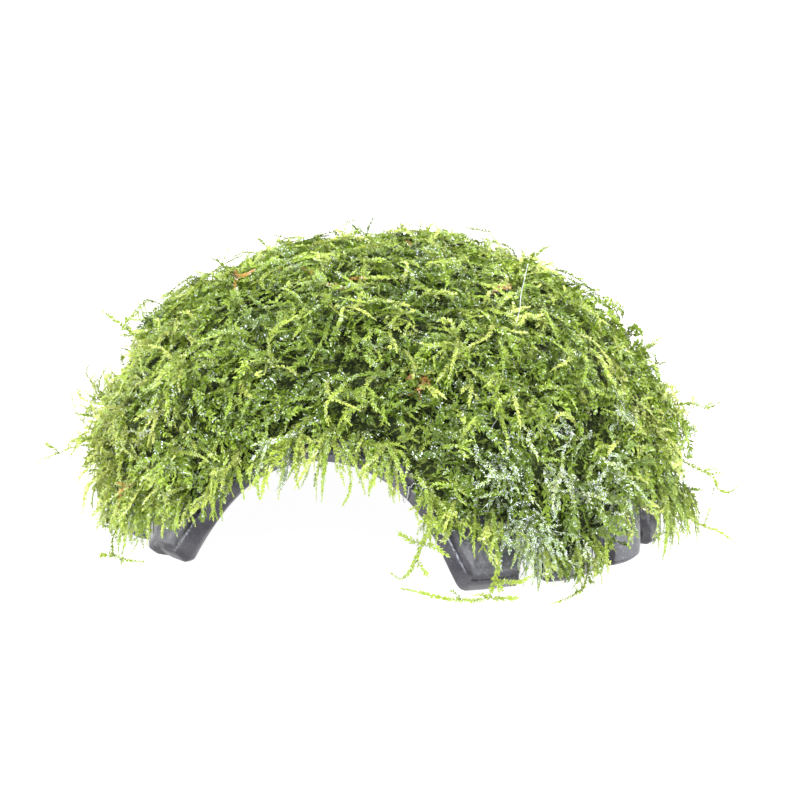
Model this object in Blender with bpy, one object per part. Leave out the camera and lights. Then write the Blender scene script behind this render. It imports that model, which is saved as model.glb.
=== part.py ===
"""Java moss tied on a moulded half-shell cave.

The cave is a fluted dome of even wall, open underneath, with one arched mouth. It stands on the scalloped
feet between its notches. A mat of moss covers the dome from the crown down to a ragged hem, locks of moss
lean out of the mat, and single sprigs stray from it. A nylon thread ties the mat down.

Metres, +Z up. The feet stand on z = 0, the dome's axis is x = y = 0 and the mouth faces -Y.
Azimuths are in degrees from the middle of the mouth, and grow towards +X.
"""
import bpy
import bmesh
import numpy as np
from math import cos, hypot, pi, radians, sin
from mathutils import Vector
from mathutils.bvhtree import BVHTree

MM = 0.001

# The dome, in millimetres: both skins are superellipses of revolution
FOOT_RADIUS = 64.5
DOME_HEIGHT = 59.0
WALL = 4.3
SQUARENESS = 2.2

# The mouth: a trapezoid with a rounded crown, whose outer edge is bevelled. Its left side leans more
MOUTH_LEFT_REACH = 33.4
MOUTH_LEFT_LEAN = 0.62
MOUTH_RIGHT_REACH = 30.0
MOUTH_RIGHT_LEAN = 0.45
MOUTH_HEIGHT = 27.0
MOUTH_ROUNDING = 4.6
MOUTH_BEVEL = 2.3
MOUTH_FLARE_REACH = 8.0
HEM_ABOVE_MOUTH = 3.5

# The flutes: scalloped lobes from the right front foot round the back to the left front foot
RIGHT_FOOT_END = 44.6
LEFT_FOOT_END = -48.2
LOBES_ROUND_THE_BACK = 14
FLUTE_DEPTH = 4.2
FLUTE_FULL_BELOW = 10.0
FLUTE_GONE_ABOVE = 42.0
NOTCH_HALF_WIDTH = 3.1
NOTCH_HEIGHT = 6.2
CORNER = 1.1

# How far the cutters run past the wall: inwards, outwards and below the ground
MOUTH_CUT_FROM = 20.0
MOUTH_CUT_TO = 140.0
NOTCH_CUT_FROM = 48.0
NOTCH_CUT_TO = 74.0
CUT_BELOW = -4.0

# The moss mat
MAT_GAP = 0.6
MAT_THICKNESS_TOP = 9.0
MAT_THICKNESS_SIDE = 7.2
MAT_COLUMNS = 66
HEM_SHARE = 0.4
LOCKS = 84
LOCK_LENGTH = 8.5
LOCK_STEPS = ((0.5, 0.6), (0.5, 0.3))
LOCK_CLEARING = 9.0
SPRIG_RADIUS = 0.8
SPRIG_GAP = 0.4

# The hem of the mat: azimuth and height above the ground, chosen where the moss hangs or ends
HEM = [
    (-180, 8), (-160, 5), (-140, 9), (-118, 6), (-98, 8), (-80, 5), (-66, 6), (-56, 3.5), (-47, 6),
    (-40, 10), (-34, 12), (-27, 13), (27, 16), (34, 14), (40, 12), (45, 7), (51, 3), (58, 3.5),
    (63, 9), (70, 12.5), (78, 11), (86, 6), (100, 5), (120, 8), (142, 5), (162, 9), (180, 8),
]  # fmt: skip

# The thread: 0.3 mm nylon
THREAD_RADIUS = 0.15
THREAD_LIFT = 0.75
THREAD_TAIL = [(52.7, 47, 68.5), (52.2, 46.4, 65), (51.2, 46.3, 61), (50.6, 47, 58)]
THREAD_OVER_MAT = [
    (49, 0.46), (47, 0.52), (44, 0.59), (40, 0.67), (35, 0.75), (30, 0.83), (25, 0.9), (21, 0.96),
    (18.8, 1.0),
]  # fmt: skip
THREAD_AT_MOUTH = [
    (18.5, 63.4, 24.0), (18.1, 61.5, 23.5), (17.9, 61.7, 22.2), (17.7, 60.4, 20.4), (17.5, 59, 19.3),
    (17.2, 57.2, 19.4), (17, 55.8, 21), (16.6, 54.4, 24), (16.2, 52.1, 28), (16, 50, 31.5),
]  # fmt: skip


def smooth_step(low, high, x):
    t = np.clip((np.asarray(x, float) - low) / (high - low), 0.0, 1.0)
    return t * t * (3.0 - 2.0 * t)


def profile_radius(height, radius=FOOT_RADIUS, top=DOME_HEIGHT):
    """Radius of a superellipse of revolution at a height."""
    rest = 1.0 - np.clip(np.asarray(height, float) / top, 0.0, 1.0) ** SQUARENESS
    return radius * np.clip(rest, 0.0, 1.0) ** (1.0 / SQUARENESS)


def place(azimuth, reach, height):
    """A point from its azimuth, its distance from the dome's axis and its height."""
    a = radians(azimuth)
    return Vector((reach * sin(a), -reach * cos(a), height))


def dome_point(azimuth, angle, radius, top):
    """A point of a superellipse of revolution: the angle is 0 at the crown and 90 degrees at the foot."""
    p = radians(angle)
    rise = top * max(cos(p), 0.0) ** (2.0 / SQUARENESS)
    return place(azimuth, radius * sin(p) ** (2.0 / SQUARENESS), rise)


def dome_normal(point, radius, top):
    """Outward direction at a point of the dome, from the slope of its equation."""
    flat = hypot(point.x, point.y)
    if flat < 1e-6:
        return Vector((0.0, 0.0, 1.0))
    out = flat ** (SQUARENESS - 1.0) / radius**SQUARENESS
    up = max(point.z, 0.0) ** (SQUARENESS - 1.0) / top**SQUARENESS
    return Vector((out * point.x / flat, out * point.y / flat, up)).normalized()


def lobe_phase(azimuth):
    """0 on a lobe's crest and pi in a valley. The front, between the two front feet, is all crest."""
    pitch = (360.0 + LEFT_FOOT_END - RIGHT_FOOT_END) / LOBES_ROUND_THE_BACK
    azimuth = (azimuth + 180.0) % 360.0 - 180.0
    if LEFT_FOOT_END + pitch / 2 < azimuth < RIGHT_FOOT_END - pitch / 2:
        return 0.0
    return 2.0 * pi * (azimuth - RIGHT_FOOT_END) / pitch + pi


def flute_drop(azimuth, height):
    """How far the fluted wall lies inside the plain dome: pillow-shaped lobes with narrow grooves between."""
    wave = abs(sin(lobe_phase(azimuth) / 2.0))
    fade = 1.0 - float(smooth_step(FLUTE_FULL_BELOW, FLUTE_GONE_ABOVE, height))
    return FLUTE_DEPTH * fade * (0.45 * wave**3 + 0.55 * wave**14)


def fluted_point(azimuth, angle, inset):
    point = dome_point(azimuth, angle, FOOT_RADIUS - inset, DOME_HEIGHT - inset)
    flat = hypot(point.x, point.y)
    if flat < 1e-6:
        return point
    drop = flute_drop(azimuth, point.z) / flat
    return Vector((point.x * (1.0 - drop), point.y * (1.0 - drop), point.z))


def mouth_outline(steps=24):
    """The mouth's edge from its left foot over the crown to its right foot, as (x, height)."""
    points = []
    for i in range(1, steps):
        a = pi * i / steps
        height = MOUTH_HEIGHT * sin(a) ** (2.0 / MOUTH_ROUNDING)
        if cos(a) > 0.0:
            reach = MOUTH_LEFT_REACH - MOUTH_LEFT_LEAN * height
        else:
            reach = MOUTH_RIGHT_REACH - MOUTH_RIGHT_LEAN * height
        points.append((-reach * cos(a), height))
    left, right = MOUTH_LEFT_REACH, MOUTH_RIGHT_REACH
    left_foot = [(-left - CORNER, CUT_BELOW), (-left - CORNER, 0.0), (MOUTH_LEFT_LEAN * CORNER - left, CORNER)]
    right_foot = [(right - MOUTH_RIGHT_LEAN * CORNER, CORNER), (right + CORNER, 0.0), (right + CORNER, CUT_BELOW)]
    return left_foot + points + right_foot


def mouth_azimuth(x, height):
    depth = float(profile_radius(max(height, 0.0))) - MOUTH_BEVEL
    return np.degrees(np.arcsin(x / depth))


def notch_outline(arc_steps=5):
    """Half-round notch between two feet, as (sideways, height), flared where it meets the ground."""
    wide, top = NOTCH_HALF_WIDTH, NOTCH_HEIGHT - NOTCH_HALF_WIDTH
    turns = [pi * i / arc_steps for i in range(arc_steps + 1)]
    arc = [(-wide * cos(turn), top + wide * sin(turn)) for turn in turns]
    foot = [(wide, CORNER), (wide + CORNER, 0.0), (wide + CORNER, CUT_BELOW)]
    return [(-x, z) for x, z in reversed(foot)] + arc + foot


def make_material(name, colour, roughness):
    material = bpy.data.materials.new(name)
    material.use_nodes = True
    shader = material.node_tree.nodes["Principled BSDF"]
    shader.inputs["Base Color"].default_value = (*colour, 1.0)
    shader.inputs["Roughness"].default_value = roughness
    shader.inputs["Metallic"].default_value = 0.0
    return material


def add_object(name, points, faces, material=None, smooth=True):
    """A mesh object from points in millimetres."""
    mesh = bpy.data.meshes.new(name)
    mesh.from_pydata([Vector(p) * MM for p in points], [], faces)
    mesh.update()
    thing = bpy.data.objects.new(name, mesh)
    bpy.context.scene.collection.objects.link(thing)
    if material is not None:
        mesh.materials.append(material)
    if smooth:
        mesh.shade_smooth()
        mesh.set_sharp_from_angle(angle=radians(35.0))
    return thing


def ring_faces(first, count, gap):
    """Quads from one closed ring of points to the next, which starts gap points later."""
    return [
        (first + i, first + gap + i, first + gap + (i + 1) % count, first + (i + 1) % count)
        for i in range(count)
    ]


def skin(columns, rows, point_at, points, faces, flip):
    """A grid with a closed top: a crown point, then a ring of points for each row. Returns the last
    ring's start."""
    crown = len(points)
    points.append(point_at(0.0, 0.0))
    for angle in rows:
        points.extend(point_at(azimuth, angle) for azimuth in columns)
    count = len(columns)
    made = [(crown, crown + 1 + i, crown + 1 + (i + 1) % count) for i in range(count)]
    for row in range(len(rows) - 1):
        made.extend(ring_faces(crown + 1 + row * count, count, count))
    faces.extend(tuple(reversed(f)) if flip else f for f in made)
    return crown + 1 + (len(rows) - 1) * count


def shell_columns():
    """Azimuths of the shell's columns: close together at each valley, wide apart over the mouth."""
    pitch = (360.0 + LEFT_FOOT_END - RIGHT_FOOT_END) / LOBES_ROUND_THE_BACK
    columns = []
    for lobe in range(LOBES_ROUND_THE_BACK):
        start = RIGHT_FOOT_END + lobe * pitch
        columns.extend(start + share * pitch for share in (0.0, 0.1, 0.3, 0.7, 0.9))
    last = 360.0 + LEFT_FOOT_END
    columns.extend(last + share * pitch for share in (0.0, 0.1, 0.3, 0.5))
    front = np.linspace(last + 0.5 * pitch, 360.0 + RIGHT_FOOT_END - 0.5 * pitch, 10)
    columns.extend(front[1:].tolist())
    end = 360.0 + RIGHT_FOOT_END
    columns.extend(end - share * pitch for share in (0.3, 0.1))
    return columns


def cut_away(target, cutter):
    cutter.hide_render = True
    cutter.display_type = "WIRE"
    cut = target.modifiers.new(cutter.name, "BOOLEAN")
    cut.operation = "DIFFERENCE"
    cut.solver = "EXACT"
    cut.object = cutter


def make_mouth_cutter():
    """Four rings of the mouth's outline: inside the dome, half-way through the wall, flared just outside it,
    and far enough out for the flat end of the cutter to clear the curved wall."""
    outline = mouth_outline()
    count = len(outline)
    rings = [[], [], [], []]
    for i, (x, height) in enumerate(outline):
        azimuth = mouth_azimuth(x, height)
        depth = float(profile_radius(max(height, 0.0))) - MOUTH_BEVEL
        before, after = outline[max(i - 1, 0)], outline[min(i + 1, count - 1)]
        along = Vector((after[0] - before[0], after[1] - before[1])).normalized()
        out_x, out_z = -along.y, along.x
        if height <= 0.0:
            out_x, out_z = (1.0 if x > 0 else -1.0), 0.0
        wider = azimuth + np.degrees(out_x * MOUTH_FLARE_REACH / depth)
        flared = height + out_z * MOUTH_FLARE_REACH
        rings[0].append(place(azimuth, MOUTH_CUT_FROM, height))
        rings[1].append(place(azimuth, depth, height))
        rings[2].append(place(wider, depth + MOUTH_FLARE_REACH, flared))
        rings[3].append(place(wider, MOUTH_CUT_TO, flared))
    points = [point for ring in rings for point in ring]
    faces = [face for start in range(0, 3 * count, count) for face in ring_faces(start, count, count)]
    faces.append(tuple(range(count)))
    faces.append(tuple(reversed(range(3 * count, 4 * count))))
    return add_object("mouth_cutter", points, faces, smooth=False)


def make_notch_cutter():
    """One prism for each valley, all in one mesh, each pointing away from the dome's axis."""
    outline = notch_outline()
    count = len(outline)
    pitch = (360.0 + LEFT_FOOT_END - RIGHT_FOOT_END) / LOBES_ROUND_THE_BACK
    points, faces = [], []
    for lobe in range(LOBES_ROUND_THE_BACK + 1):
        a = radians(RIGHT_FOOT_END + lobe * pitch)
        start = len(points)
        for reach in (NOTCH_CUT_FROM, NOTCH_CUT_TO):
            for aside, height in outline:
                points.append((reach * sin(a) + aside * cos(a), -reach * cos(a) + aside * sin(a), height))
        faces.extend(ring_faces(start, count, count))
        faces.append(tuple(range(start, start + count)))
        faces.append(tuple(reversed(range(start + count, start + 2 * count))))
    return add_object("notch_cutter", points, faces, smooth=False)


def make_shell(material):
    columns = shell_columns()
    points, faces = [], []
    outer_rows = (12, 24, 36, 46, 56, 65, 73, 80, 85.5, 90)
    inner_rows = (20, 40, 56, 70, 81, 90)
    outer = skin(columns, outer_rows, lambda a, p: fluted_point(a, p, 0.0), points, faces, False)
    inner = skin(columns, inner_rows, lambda a, p: fluted_point(a, p, WALL), points, faces, True)
    faces.extend(ring_faces(outer, len(columns), inner - outer))
    shell = add_object("cave_shell", points, faces, material)
    for cutter in (make_mouth_cutter(), make_notch_cutter()):
        right_way_out(cutter)
        cut_away(shell, cutter)
    right_way_out(shell)
    return shell


def right_way_out(thing):
    """Turns every face of a closed mesh outwards."""
    work = bmesh.new()
    work.from_mesh(thing.data)
    bmesh.ops.recalc_face_normals(work, faces=work.faces)
    work.to_mesh(thing.data)
    work.free()


def arch_height(azimuth):
    """Height of the mouth's edge at an azimuth, and 0 beside the mouth."""
    edge = [(mouth_azimuth(x, z), z) for x, z in mouth_outline() if z > CORNER]
    turns, heights = zip(*edge)
    return float(np.interp(azimuth, turns, heights, left=0.0, right=0.0))


def hem_height(azimuth):
    """Where the mat ends: the chosen hem, or a margin above the mouth's edge, whichever is higher."""
    azimuth = (azimuth + 180.0) % 360.0 - 180.0
    chosen = float(np.interp(azimuth, *zip(*HEM)))
    arch = arch_height(azimuth)
    if arch <= 0.0:
        return chosen
    return max(chosen, arch + HEM_ABOVE_MOUTH + 2.0 * azimuth / 27.0)


def mat_inner(azimuth, share):
    """A point of the mat's underside. The share runs from 0 at the crown to 1 at the hem."""
    radius, top = FOOT_RADIUS + MAT_GAP, DOME_HEIGHT + MAT_GAP
    foot = np.degrees(np.arccos((hem_height(azimuth) / top) ** (SQUARENESS / 2.0)))
    return dome_point(azimuth, share * foot, radius, top)


def mat_thickness(azimuth, share, height):
    """Thicker on the crown than on the sides, thin at the hem, and lumpy in between."""
    up = height / DOME_HEIGHT
    plain = MAT_THICKNESS_SIDE + (MAT_THICKNESS_TOP - MAT_THICKNESS_SIDE) * up
    a = radians(azimuth)
    lumps = 0.9 * sin(5 * a + 7 * share) * cos(9 * share + 1.0)
    lumps += 0.7 * sin(11 * a + 2.0) * sin(13 * share + a)
    left_shoulder = 2.2 * np.exp(-((azimuth + 78.0) / 38.0) ** 2 - ((share - 0.5) / 0.2) ** 2)
    right_shoulder = -1.6 * np.exp(-((azimuth - 105.0) / 30.0) ** 2 - ((share - 0.55) / 0.2) ** 2)
    edge = 1.0 - (1.0 - HEM_SHARE) * float(smooth_step(0.84, 1.0, share))
    return (plain + (lumps + left_shoulder + right_shoulder) * min(1.0, 4.0 * share)) * edge


def mat_outer(azimuth, share):
    azimuth = (azimuth + 180.0) % 360.0 - 180.0
    base = mat_inner(azimuth, share)
    out = dome_normal(base, FOOT_RADIUS, DOME_HEIGHT)
    return base + out * mat_thickness(azimuth, share, base.z)


def pull_lock(work, face, length, droop, aside):
    """A lock of moss: a face of the mat drawn out in two steps that taper, and bend down and sideways."""
    out = face.normal.copy()
    turn = Vector((0.0, 0.0, 1.0)).cross(out)
    turn = turn.normalized() if turn.length > 1e-6 else Vector((1.0, 0.0, 0.0))
    for step, (share, shrink) in enumerate(LOCK_STEPS):
        face = bmesh.ops.extrude_discrete_faces(work, faces=[face])["faces"][0]
        bend = 0.4 + 0.9 * step
        way = (out + Vector((0.0, 0.0, -droop * bend)) + turn * (aside * bend)).normalized()
        middle = face.calc_center_median()
        for corner in face.verts:
            corner.co = middle + (corner.co - middle) * shrink + way * (length * share * MM)


def lock_places():
    """Azimuth and share of each lock: a golden-angle spiral, so that they stand evenly apart."""
    places = []
    for k in range(LOCKS):
        share = 0.12 + 0.84 * ((k + 0.5) / LOCKS) ** 0.62
        places.append(((k * 137.508) % 360.0, share))
    return places


def make_mat(material):
    columns = [360.0 * i / MAT_COLUMNS for i in range(MAT_COLUMNS)]
    outer_rows = (0.1, 0.2, 0.3, 0.4, 0.5, 0.6, 0.69, 0.78, 0.86, 0.93, 0.98, 1.0)
    inner_rows = (0.13, 0.26, 0.39, 0.52, 0.64, 0.75, 0.85, 0.93, 1.0)
    points, faces = [], []
    outer = skin(columns, outer_rows, mat_outer, points, faces, False)
    inner = skin(columns, inner_rows, mat_inner, points, faces, True)
    faces.extend(ring_faces(outer, MAT_COLUMNS, inner - outer))
    mat = add_object("moss_mat", points, faces, material)
    right_way_out(mat)

    work = bmesh.new()
    work.from_mesh(mat.data)
    middles = {f: f.calc_center_median() for f in work.faces if len(f.verts) == 4}
    open_faces = {f: middle for f, middle in middles.items() if f.normal.dot(middle) > 0.0}
    random = np.random.default_rng(4)
    chosen = []
    kept_clear = [mat_outer(*spot) * MM for spot in THREAD_OVER_MAT[::2]]
    kept_clear += [mat_outer(*branches[0][0]) * MM for branches in SPRIGS.values()]
    for azimuth, share in lock_places():
        aim = mat_outer(azimuth, share) * MM
        if min((aim - spot).length for spot in kept_clear) < LOCK_CLEARING * MM:
            continue
        face = min(open_faces, key=lambda f: (open_faces[f] - aim).length)
        chosen.append(face)
        for corner in face.verts:
            for near in corner.link_faces:
                open_faces.pop(near, None)
    for face in chosen:
        higher = face.calc_center_median().z / (DOME_HEIGHT * MM)
        length = LOCK_LENGTH * random.uniform(0.75, 1.2) * (1.0 - 0.5 * min(higher, 1.0) ** 3)
        pull_lock(work, face, length, random.uniform(0.2, 0.9), random.uniform(-0.7, 0.7))
    work.to_mesh(mat.data)
    work.free()
    return mat


def make_thread(material):
    """One strand: a free tail on the right shoulder, over the mat, across the mouth's band and inside."""
    over = []
    for azimuth, share in THREAD_OVER_MAT:
        base = mat_outer(azimuth, share)
        over.append(base + dome_normal(base, FOOT_RADIUS, DOME_HEIGHT) * THREAD_LIFT)
    route = [place(*spot) for spot in THREAD_TAIL] + over + [place(*spot) for spot in THREAD_AT_MOUTH]
    curve = bpy.data.curves.new("tie_thread", "CURVE")
    curve.dimensions = "3D"
    curve.bevel_depth = THREAD_RADIUS * MM
    curve.bevel_resolution = 2
    curve.use_fill_caps = True
    line = curve.splines.new("POLY")
    line.points.add(len(route) - 1)
    for knot, point in zip(line.points, route):
        knot.co = (*(point * MM), 1.0)
    curve.materials.append(material)
    thing = bpy.data.objects.new("tie_thread", curve)
    bpy.context.scene.collection.objects.link(thing)
    return thing


# The sprigs that stray from the mat. A stem's root is (azimuth, share of the mat from crown to hem), and
# its other points are (azimuth, distance from the axis, height). A side branch starts at a numbered stem
# point.
SPRIGS = {
    "sprig_mouth": [
        [
            (22, 0.95), (21, 71.4, 17.5), (19.9, 71.5, 13.5), (18.9, 71.3, 10), (17.8, 71, 7),
            (16.4, 71, 5.6), (15, 71, 6.8),
        ],
        [2, (21.8, 72.5, 13.2), (24.2, 74, 11.4)],
        [2, (17.6, 70.6, 14.4), (16, 70, 15.6)],
        [3, (20, 71.6, 8.4), (21, 71.6, 6.6)],
    ],
    "sprig_brow": [
        [(-5.6, 0.95), (-6, 72, 29), (-6.6, 74.4, 26), (-7, 75.2, 22.6)],
        [1, (-3.4, 74.4, 30.4)],
    ],
    "sprig_foot": [
        [
            (33, 0.97), (33.6, 71, 9), (32.6, 72.2, 5), (31.2, 72.6, 1.4), (27, 72.4, 1.1),
            (23.6, 69.8, 1.1), (19.6, 65, 1.1), (17, 63, 1.1),
        ],
        [2, (36.4, 73.4, 4.6), (38.6, 73.6, 5.6)],
        [3, (34.6, 73.6, 1.2), (36.6, 74, 1.4)],
    ],
    "sprig_left": [
        [(-71, 0.87), (-71.3, 76, 17), (-71.6, 79, 15.6), (-72, 82.5, 14), (-72, 85.8, 12)],
        [2, (-72.6, 81.6, 17.2), (-72.6, 83.4, 17.6)],
    ],
    "sprig_left_upper": [
        [(-71, 0.62), (-71.5, 65, 47), (-72, 69, 50)],
    ],
    "sprig_left_curl": [
        [
            (-47, 0.98), (-46.5, 71.6, 4.5), (-45, 73, 2), (-41.5, 74.4, 1.1), (-38, 73.6, 1.0),
            (-35.8, 71.6, 1.0),
        ],
        [3, (-43, 77.4, 1.2)],
    ],
    "sprig_right": [
        [(96, 0.87), (96.6, 75.4, 14.4), (97, 77, 11.4), (97, 79.4, 10.4), (97, 81.4, 12)],
    ],
    "sprig_right_low": [
        [(88, 0.97), (88.3, 72, 6.6), (88.6, 75, 5), (89, 78, 4), (89.4, 80.6, 2.6), (89.6, 82.2, 1.4)],
        [2, (91.2, 76, 9)],
    ],
    "sprig_right_upper": [
        [(98, 0.74), (98.4, 70, 31), (98.8, 73.5, 30), (99, 76.5, 31.4)],
    ],
    "sprig_corner": [
        [(54, 0.985), (51, 71.6, 1.4), (48, 74.4, 1.1), (44, 77.6, 1.0), (40, 80, 1.0)],
    ],
    "sprig_back_left": [
        [(-158, 0.9), (-158.6, 75, 12.6), (-160, 78, 9.6), (-161, 79, 6)],
        [1, (-156, 77.6, 14.6)],
    ],
    "sprig_back_right": [
        [(150, 0.84), (151, 76, 19.6), (153, 79.4, 17), (154, 81.2, 13)],
        [2, (155.6, 80.4, 18.4)],
    ],
}  # fmt: skip


def stem_point(spot, mat_faces):
    """A root stands just clear of the mat's own faces, and every other point is where it says."""
    if len(spot) == 3:
        return place(*spot)
    base = mat_inner(*spot)
    out = dome_normal(base, FOOT_RADIUS, DOME_HEIGHT)
    hit = mat_faces.ray_cast((base + out) * MM, out)[0]
    return hit / MM + out * (SPRIG_RADIUS + SPRIG_GAP)


def make_sprig(name, branches, mat_faces, material):
    """A branching sprig: a skeleton of edges that gets its girth from a Skin modifier."""
    points, edges, girths = [], [], []
    stem = []
    for branch in branches:
        start = None
        if isinstance(branch[0], int):
            start, branch = stem[branch[0]], branch[1:]
        made = [] if start is None else [start]
        for i, spot in enumerate(branch):
            made.append(len(points))
            points.append(stem_point(spot, mat_faces) * MM)
            taper = 1.0 - 0.55 * i / max(len(branch) - 1, 1)
            girths.append(SPRIG_RADIUS * taper * (1.0 if start is None else 0.8))
        edges.extend(zip(made, made[1:]))
        if start is None:
            stem = made
    mesh = bpy.data.meshes.new(name)
    mesh.from_pydata(points, edges, [])
    mesh.update()
    mesh.materials.append(material)
    sprig = bpy.data.objects.new(name, mesh)
    bpy.context.scene.collection.objects.link(sprig)
    sprig.modifiers.new("girth", "SKIN")
    for vertex, girth in zip(mesh.skin_vertices[0].data, girths):
        vertex.radius = (girth * MM, girth * MM)
    mesh.skin_vertices[0].data[0].use_root = True
    return sprig


def main():
    for thing in list(bpy.data.objects):
        bpy.data.objects.remove(thing)
    glaze = make_material("slate_grey_moulding", (0.075, 0.075, 0.095), 0.32)
    moss = make_material("java_moss", (0.16, 0.30, 0.035), 0.6)
    sprig_green = make_material("young_moss", (0.33, 0.46, 0.05), 0.55)
    nylon = make_material("clear_nylon", (0.82, 0.86, 0.85), 0.15)
    make_shell(glaze)
    mat = make_mat(moss)
    corners = [vertex.co for vertex in mat.data.vertices]
    mat_faces = BVHTree.FromPolygons(corners, [face.vertices for face in mat.data.polygons])
    make_thread(nylon)
    for name, branches in SPRIGS.items():
        make_sprig(name, branches, mat_faces, sprig_green)


main()
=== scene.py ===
# %% [markdown]
# # Java moss tied on a half-shell cave
# The object is an aquarium cave: a moulded, slate-grey half shell that stands on scalloped feet, with one
# arched mouth. A thick mat of java moss is tied over it. This file gives the plain solids of the packed
# model their looks: a fine shell with its moulded details, some thousands of leafy moss shoots, and the
# nylon thread. Everything is worked out with numpy as whole arrays, then put into meshes.
#
# The frame comes first. It holds every solid in metres, with the mouth facing -Y and the feet on z = 0.

import bpy
import numpy as np
from mathutils import Matrix, Vector


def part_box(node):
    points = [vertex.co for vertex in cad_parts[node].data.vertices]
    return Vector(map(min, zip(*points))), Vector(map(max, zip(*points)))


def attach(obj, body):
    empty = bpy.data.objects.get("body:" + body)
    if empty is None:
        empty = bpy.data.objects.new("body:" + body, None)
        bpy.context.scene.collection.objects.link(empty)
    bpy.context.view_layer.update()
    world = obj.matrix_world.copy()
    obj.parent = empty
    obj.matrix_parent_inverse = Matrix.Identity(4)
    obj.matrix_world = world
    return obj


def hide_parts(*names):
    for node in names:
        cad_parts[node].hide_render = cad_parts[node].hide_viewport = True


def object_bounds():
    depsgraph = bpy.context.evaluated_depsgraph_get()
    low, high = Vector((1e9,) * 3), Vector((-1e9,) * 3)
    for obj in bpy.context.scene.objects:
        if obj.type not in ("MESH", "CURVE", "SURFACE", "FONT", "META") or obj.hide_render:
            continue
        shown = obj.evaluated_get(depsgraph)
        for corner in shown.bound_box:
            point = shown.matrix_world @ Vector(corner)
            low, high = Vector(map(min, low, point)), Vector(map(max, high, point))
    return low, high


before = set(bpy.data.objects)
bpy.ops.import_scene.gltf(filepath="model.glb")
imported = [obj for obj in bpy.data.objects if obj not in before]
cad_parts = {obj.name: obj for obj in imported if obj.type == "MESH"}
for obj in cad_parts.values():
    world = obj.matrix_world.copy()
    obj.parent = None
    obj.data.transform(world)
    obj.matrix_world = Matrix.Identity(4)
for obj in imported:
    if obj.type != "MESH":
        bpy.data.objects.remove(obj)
cad_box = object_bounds()
print("solids:", len(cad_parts))
print("box in mm:", [round(1000 * (high - low), 1) for low, high in zip(*cad_box)])

# %% [markdown]
# ## Camera
# The feet stand on a circle, and a circle seen in perspective tells where the camera was: here about
# 15 degrees above the ground, and 15 degrees to the right of the mouth's middle. The lens is long, because
# the circle's far side is hardly smaller than its near side. The camera looks at a point above the
# footprint's centre and leans over by one degree.

# %% Place the camera
MM = 0.001
CAMERA_AZIMUTH = 14.8
CAMERA_ELEVATION = 15.1
CAMERA_DISTANCE = 645.0
CAMERA_LENS = 121.1
CAMERA_ROLL = 1.1
SENSOR_WIDTH = 36.0
AIM = (1.3, 0.35, 28.9)


def on_circle(azimuth, reach, height):
    """Points from azimuth in degrees, distance from the dome's axis and height: (r sin a, -r cos a, z)."""
    a = np.radians(azimuth)
    return np.stack(np.broadcast_arrays(reach * np.sin(a), -reach * np.cos(a), height), axis=-1)


def on_sphere(azimuth, elevation, distance):
    """A point on_circle with r = d cos(e) and z = d sin(e), from azimuth, elevation and distance."""
    up = np.radians(elevation)
    return Vector(on_circle(azimuth, distance * np.cos(up), distance * np.sin(up)))


def put_in_scene(name, data):
    thing = bpy.data.objects.new(name, data)
    bpy.context.scene.collection.objects.link(thing)
    return thing


def make_camera():
    data = bpy.data.cameras.new("camera")
    data.lens = CAMERA_LENS
    data.sensor_width = SENSOR_WIDTH
    camera = put_in_scene("camera", data)
    camera.location = on_sphere(CAMERA_AZIMUTH, CAMERA_ELEVATION, CAMERA_DISTANCE) * MM
    look = (Vector(AIM) * MM - camera.location).to_track_quat("-Z", "Y")
    lean = Matrix.Rotation(np.radians(CAMERA_ROLL), 4, "Z")
    camera.rotation_euler = (look.to_matrix().to_4x4() @ lean).to_euler()
    bpy.context.scene.camera = camera
    return camera


camera = make_camera()
print("camera at", [round(x, 3) for x in camera.location])

# %% [markdown]
# ## From arrays to meshes
# Every new piece is made in the same way. An array of points and arrays of triangles or quads go into a
# mesh with foreach_set, which is far quicker than a loop. A piece can bring a map, a pair of numbers for
# each point, for its material to read.

# %% Mesh helpers
def add_piece(name, points, faces, material, map_uv=None):
    """A piece from points in millimetres and a list of face arrays, each with 3 or 4 corners a face."""
    mesh = bpy.data.meshes.new(name)
    corners = np.concatenate([block.ravel() for block in faces]).astype(np.int32)
    sides = np.concatenate([np.full(len(block), block.shape[1]) for block in faces])
    starts = np.concatenate([[0], np.cumsum(sides)[:-1]]).astype(np.int32)
    mesh.vertices.add(len(points))
    mesh.vertices.foreach_set("co", (points * MM).astype(np.float32).ravel())
    mesh.loops.add(len(corners))
    mesh.loops.foreach_set("vertex_index", corners)
    mesh.polygons.add(len(sides))
    mesh.polygons.foreach_set("loop_start", starts)
    mesh.polygons.foreach_set("use_smooth", np.full(len(sides), True))
    mesh.update(calc_edges=True)
    if map_uv is not None:
        layer = mesh.uv_layers.new(name="OFBake")
        layer.uv.foreach_set("vector", map_uv[corners].astype(np.float32).ravel())
    mesh.validate()
    mesh.materials.append(material)
    piece = put_in_scene(name, mesh)
    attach(piece, "root")
    return piece


def grid_faces(rows, columns):
    """Quads of a grid of points that is stored row by row, and whose last column meets its first."""
    row = np.arange(rows - 1)[:, None] * columns
    column = np.arange(columns)[None, :]
    after = (column + 1) % columns
    corners = (row + column, row + after, row + columns + after, row + columns + column)
    return np.stack([corner.ravel() for corner in corners], axis=1)


def pole_faces(ring, columns, pole):
    """Triangles from a closed ring of points, which starts at point number ring, to a single point."""
    column = np.arange(columns)
    after = (column + 1) % columns
    return np.stack([ring + column, ring + after, np.full(columns, pole)], axis=1)


def closed_faces(rows, columns):
    """All faces of a grid that a pole closes at its first and its last row. They are stored after it."""
    first_fan = pole_faces(0, columns, rows * columns)
    last_fan = pole_faces((rows - 1) * columns, columns, rows * columns + 1)
    return [grid_faces(rows, columns)[:, ::-1], first_fan, last_fan[:, ::-1]]


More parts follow.
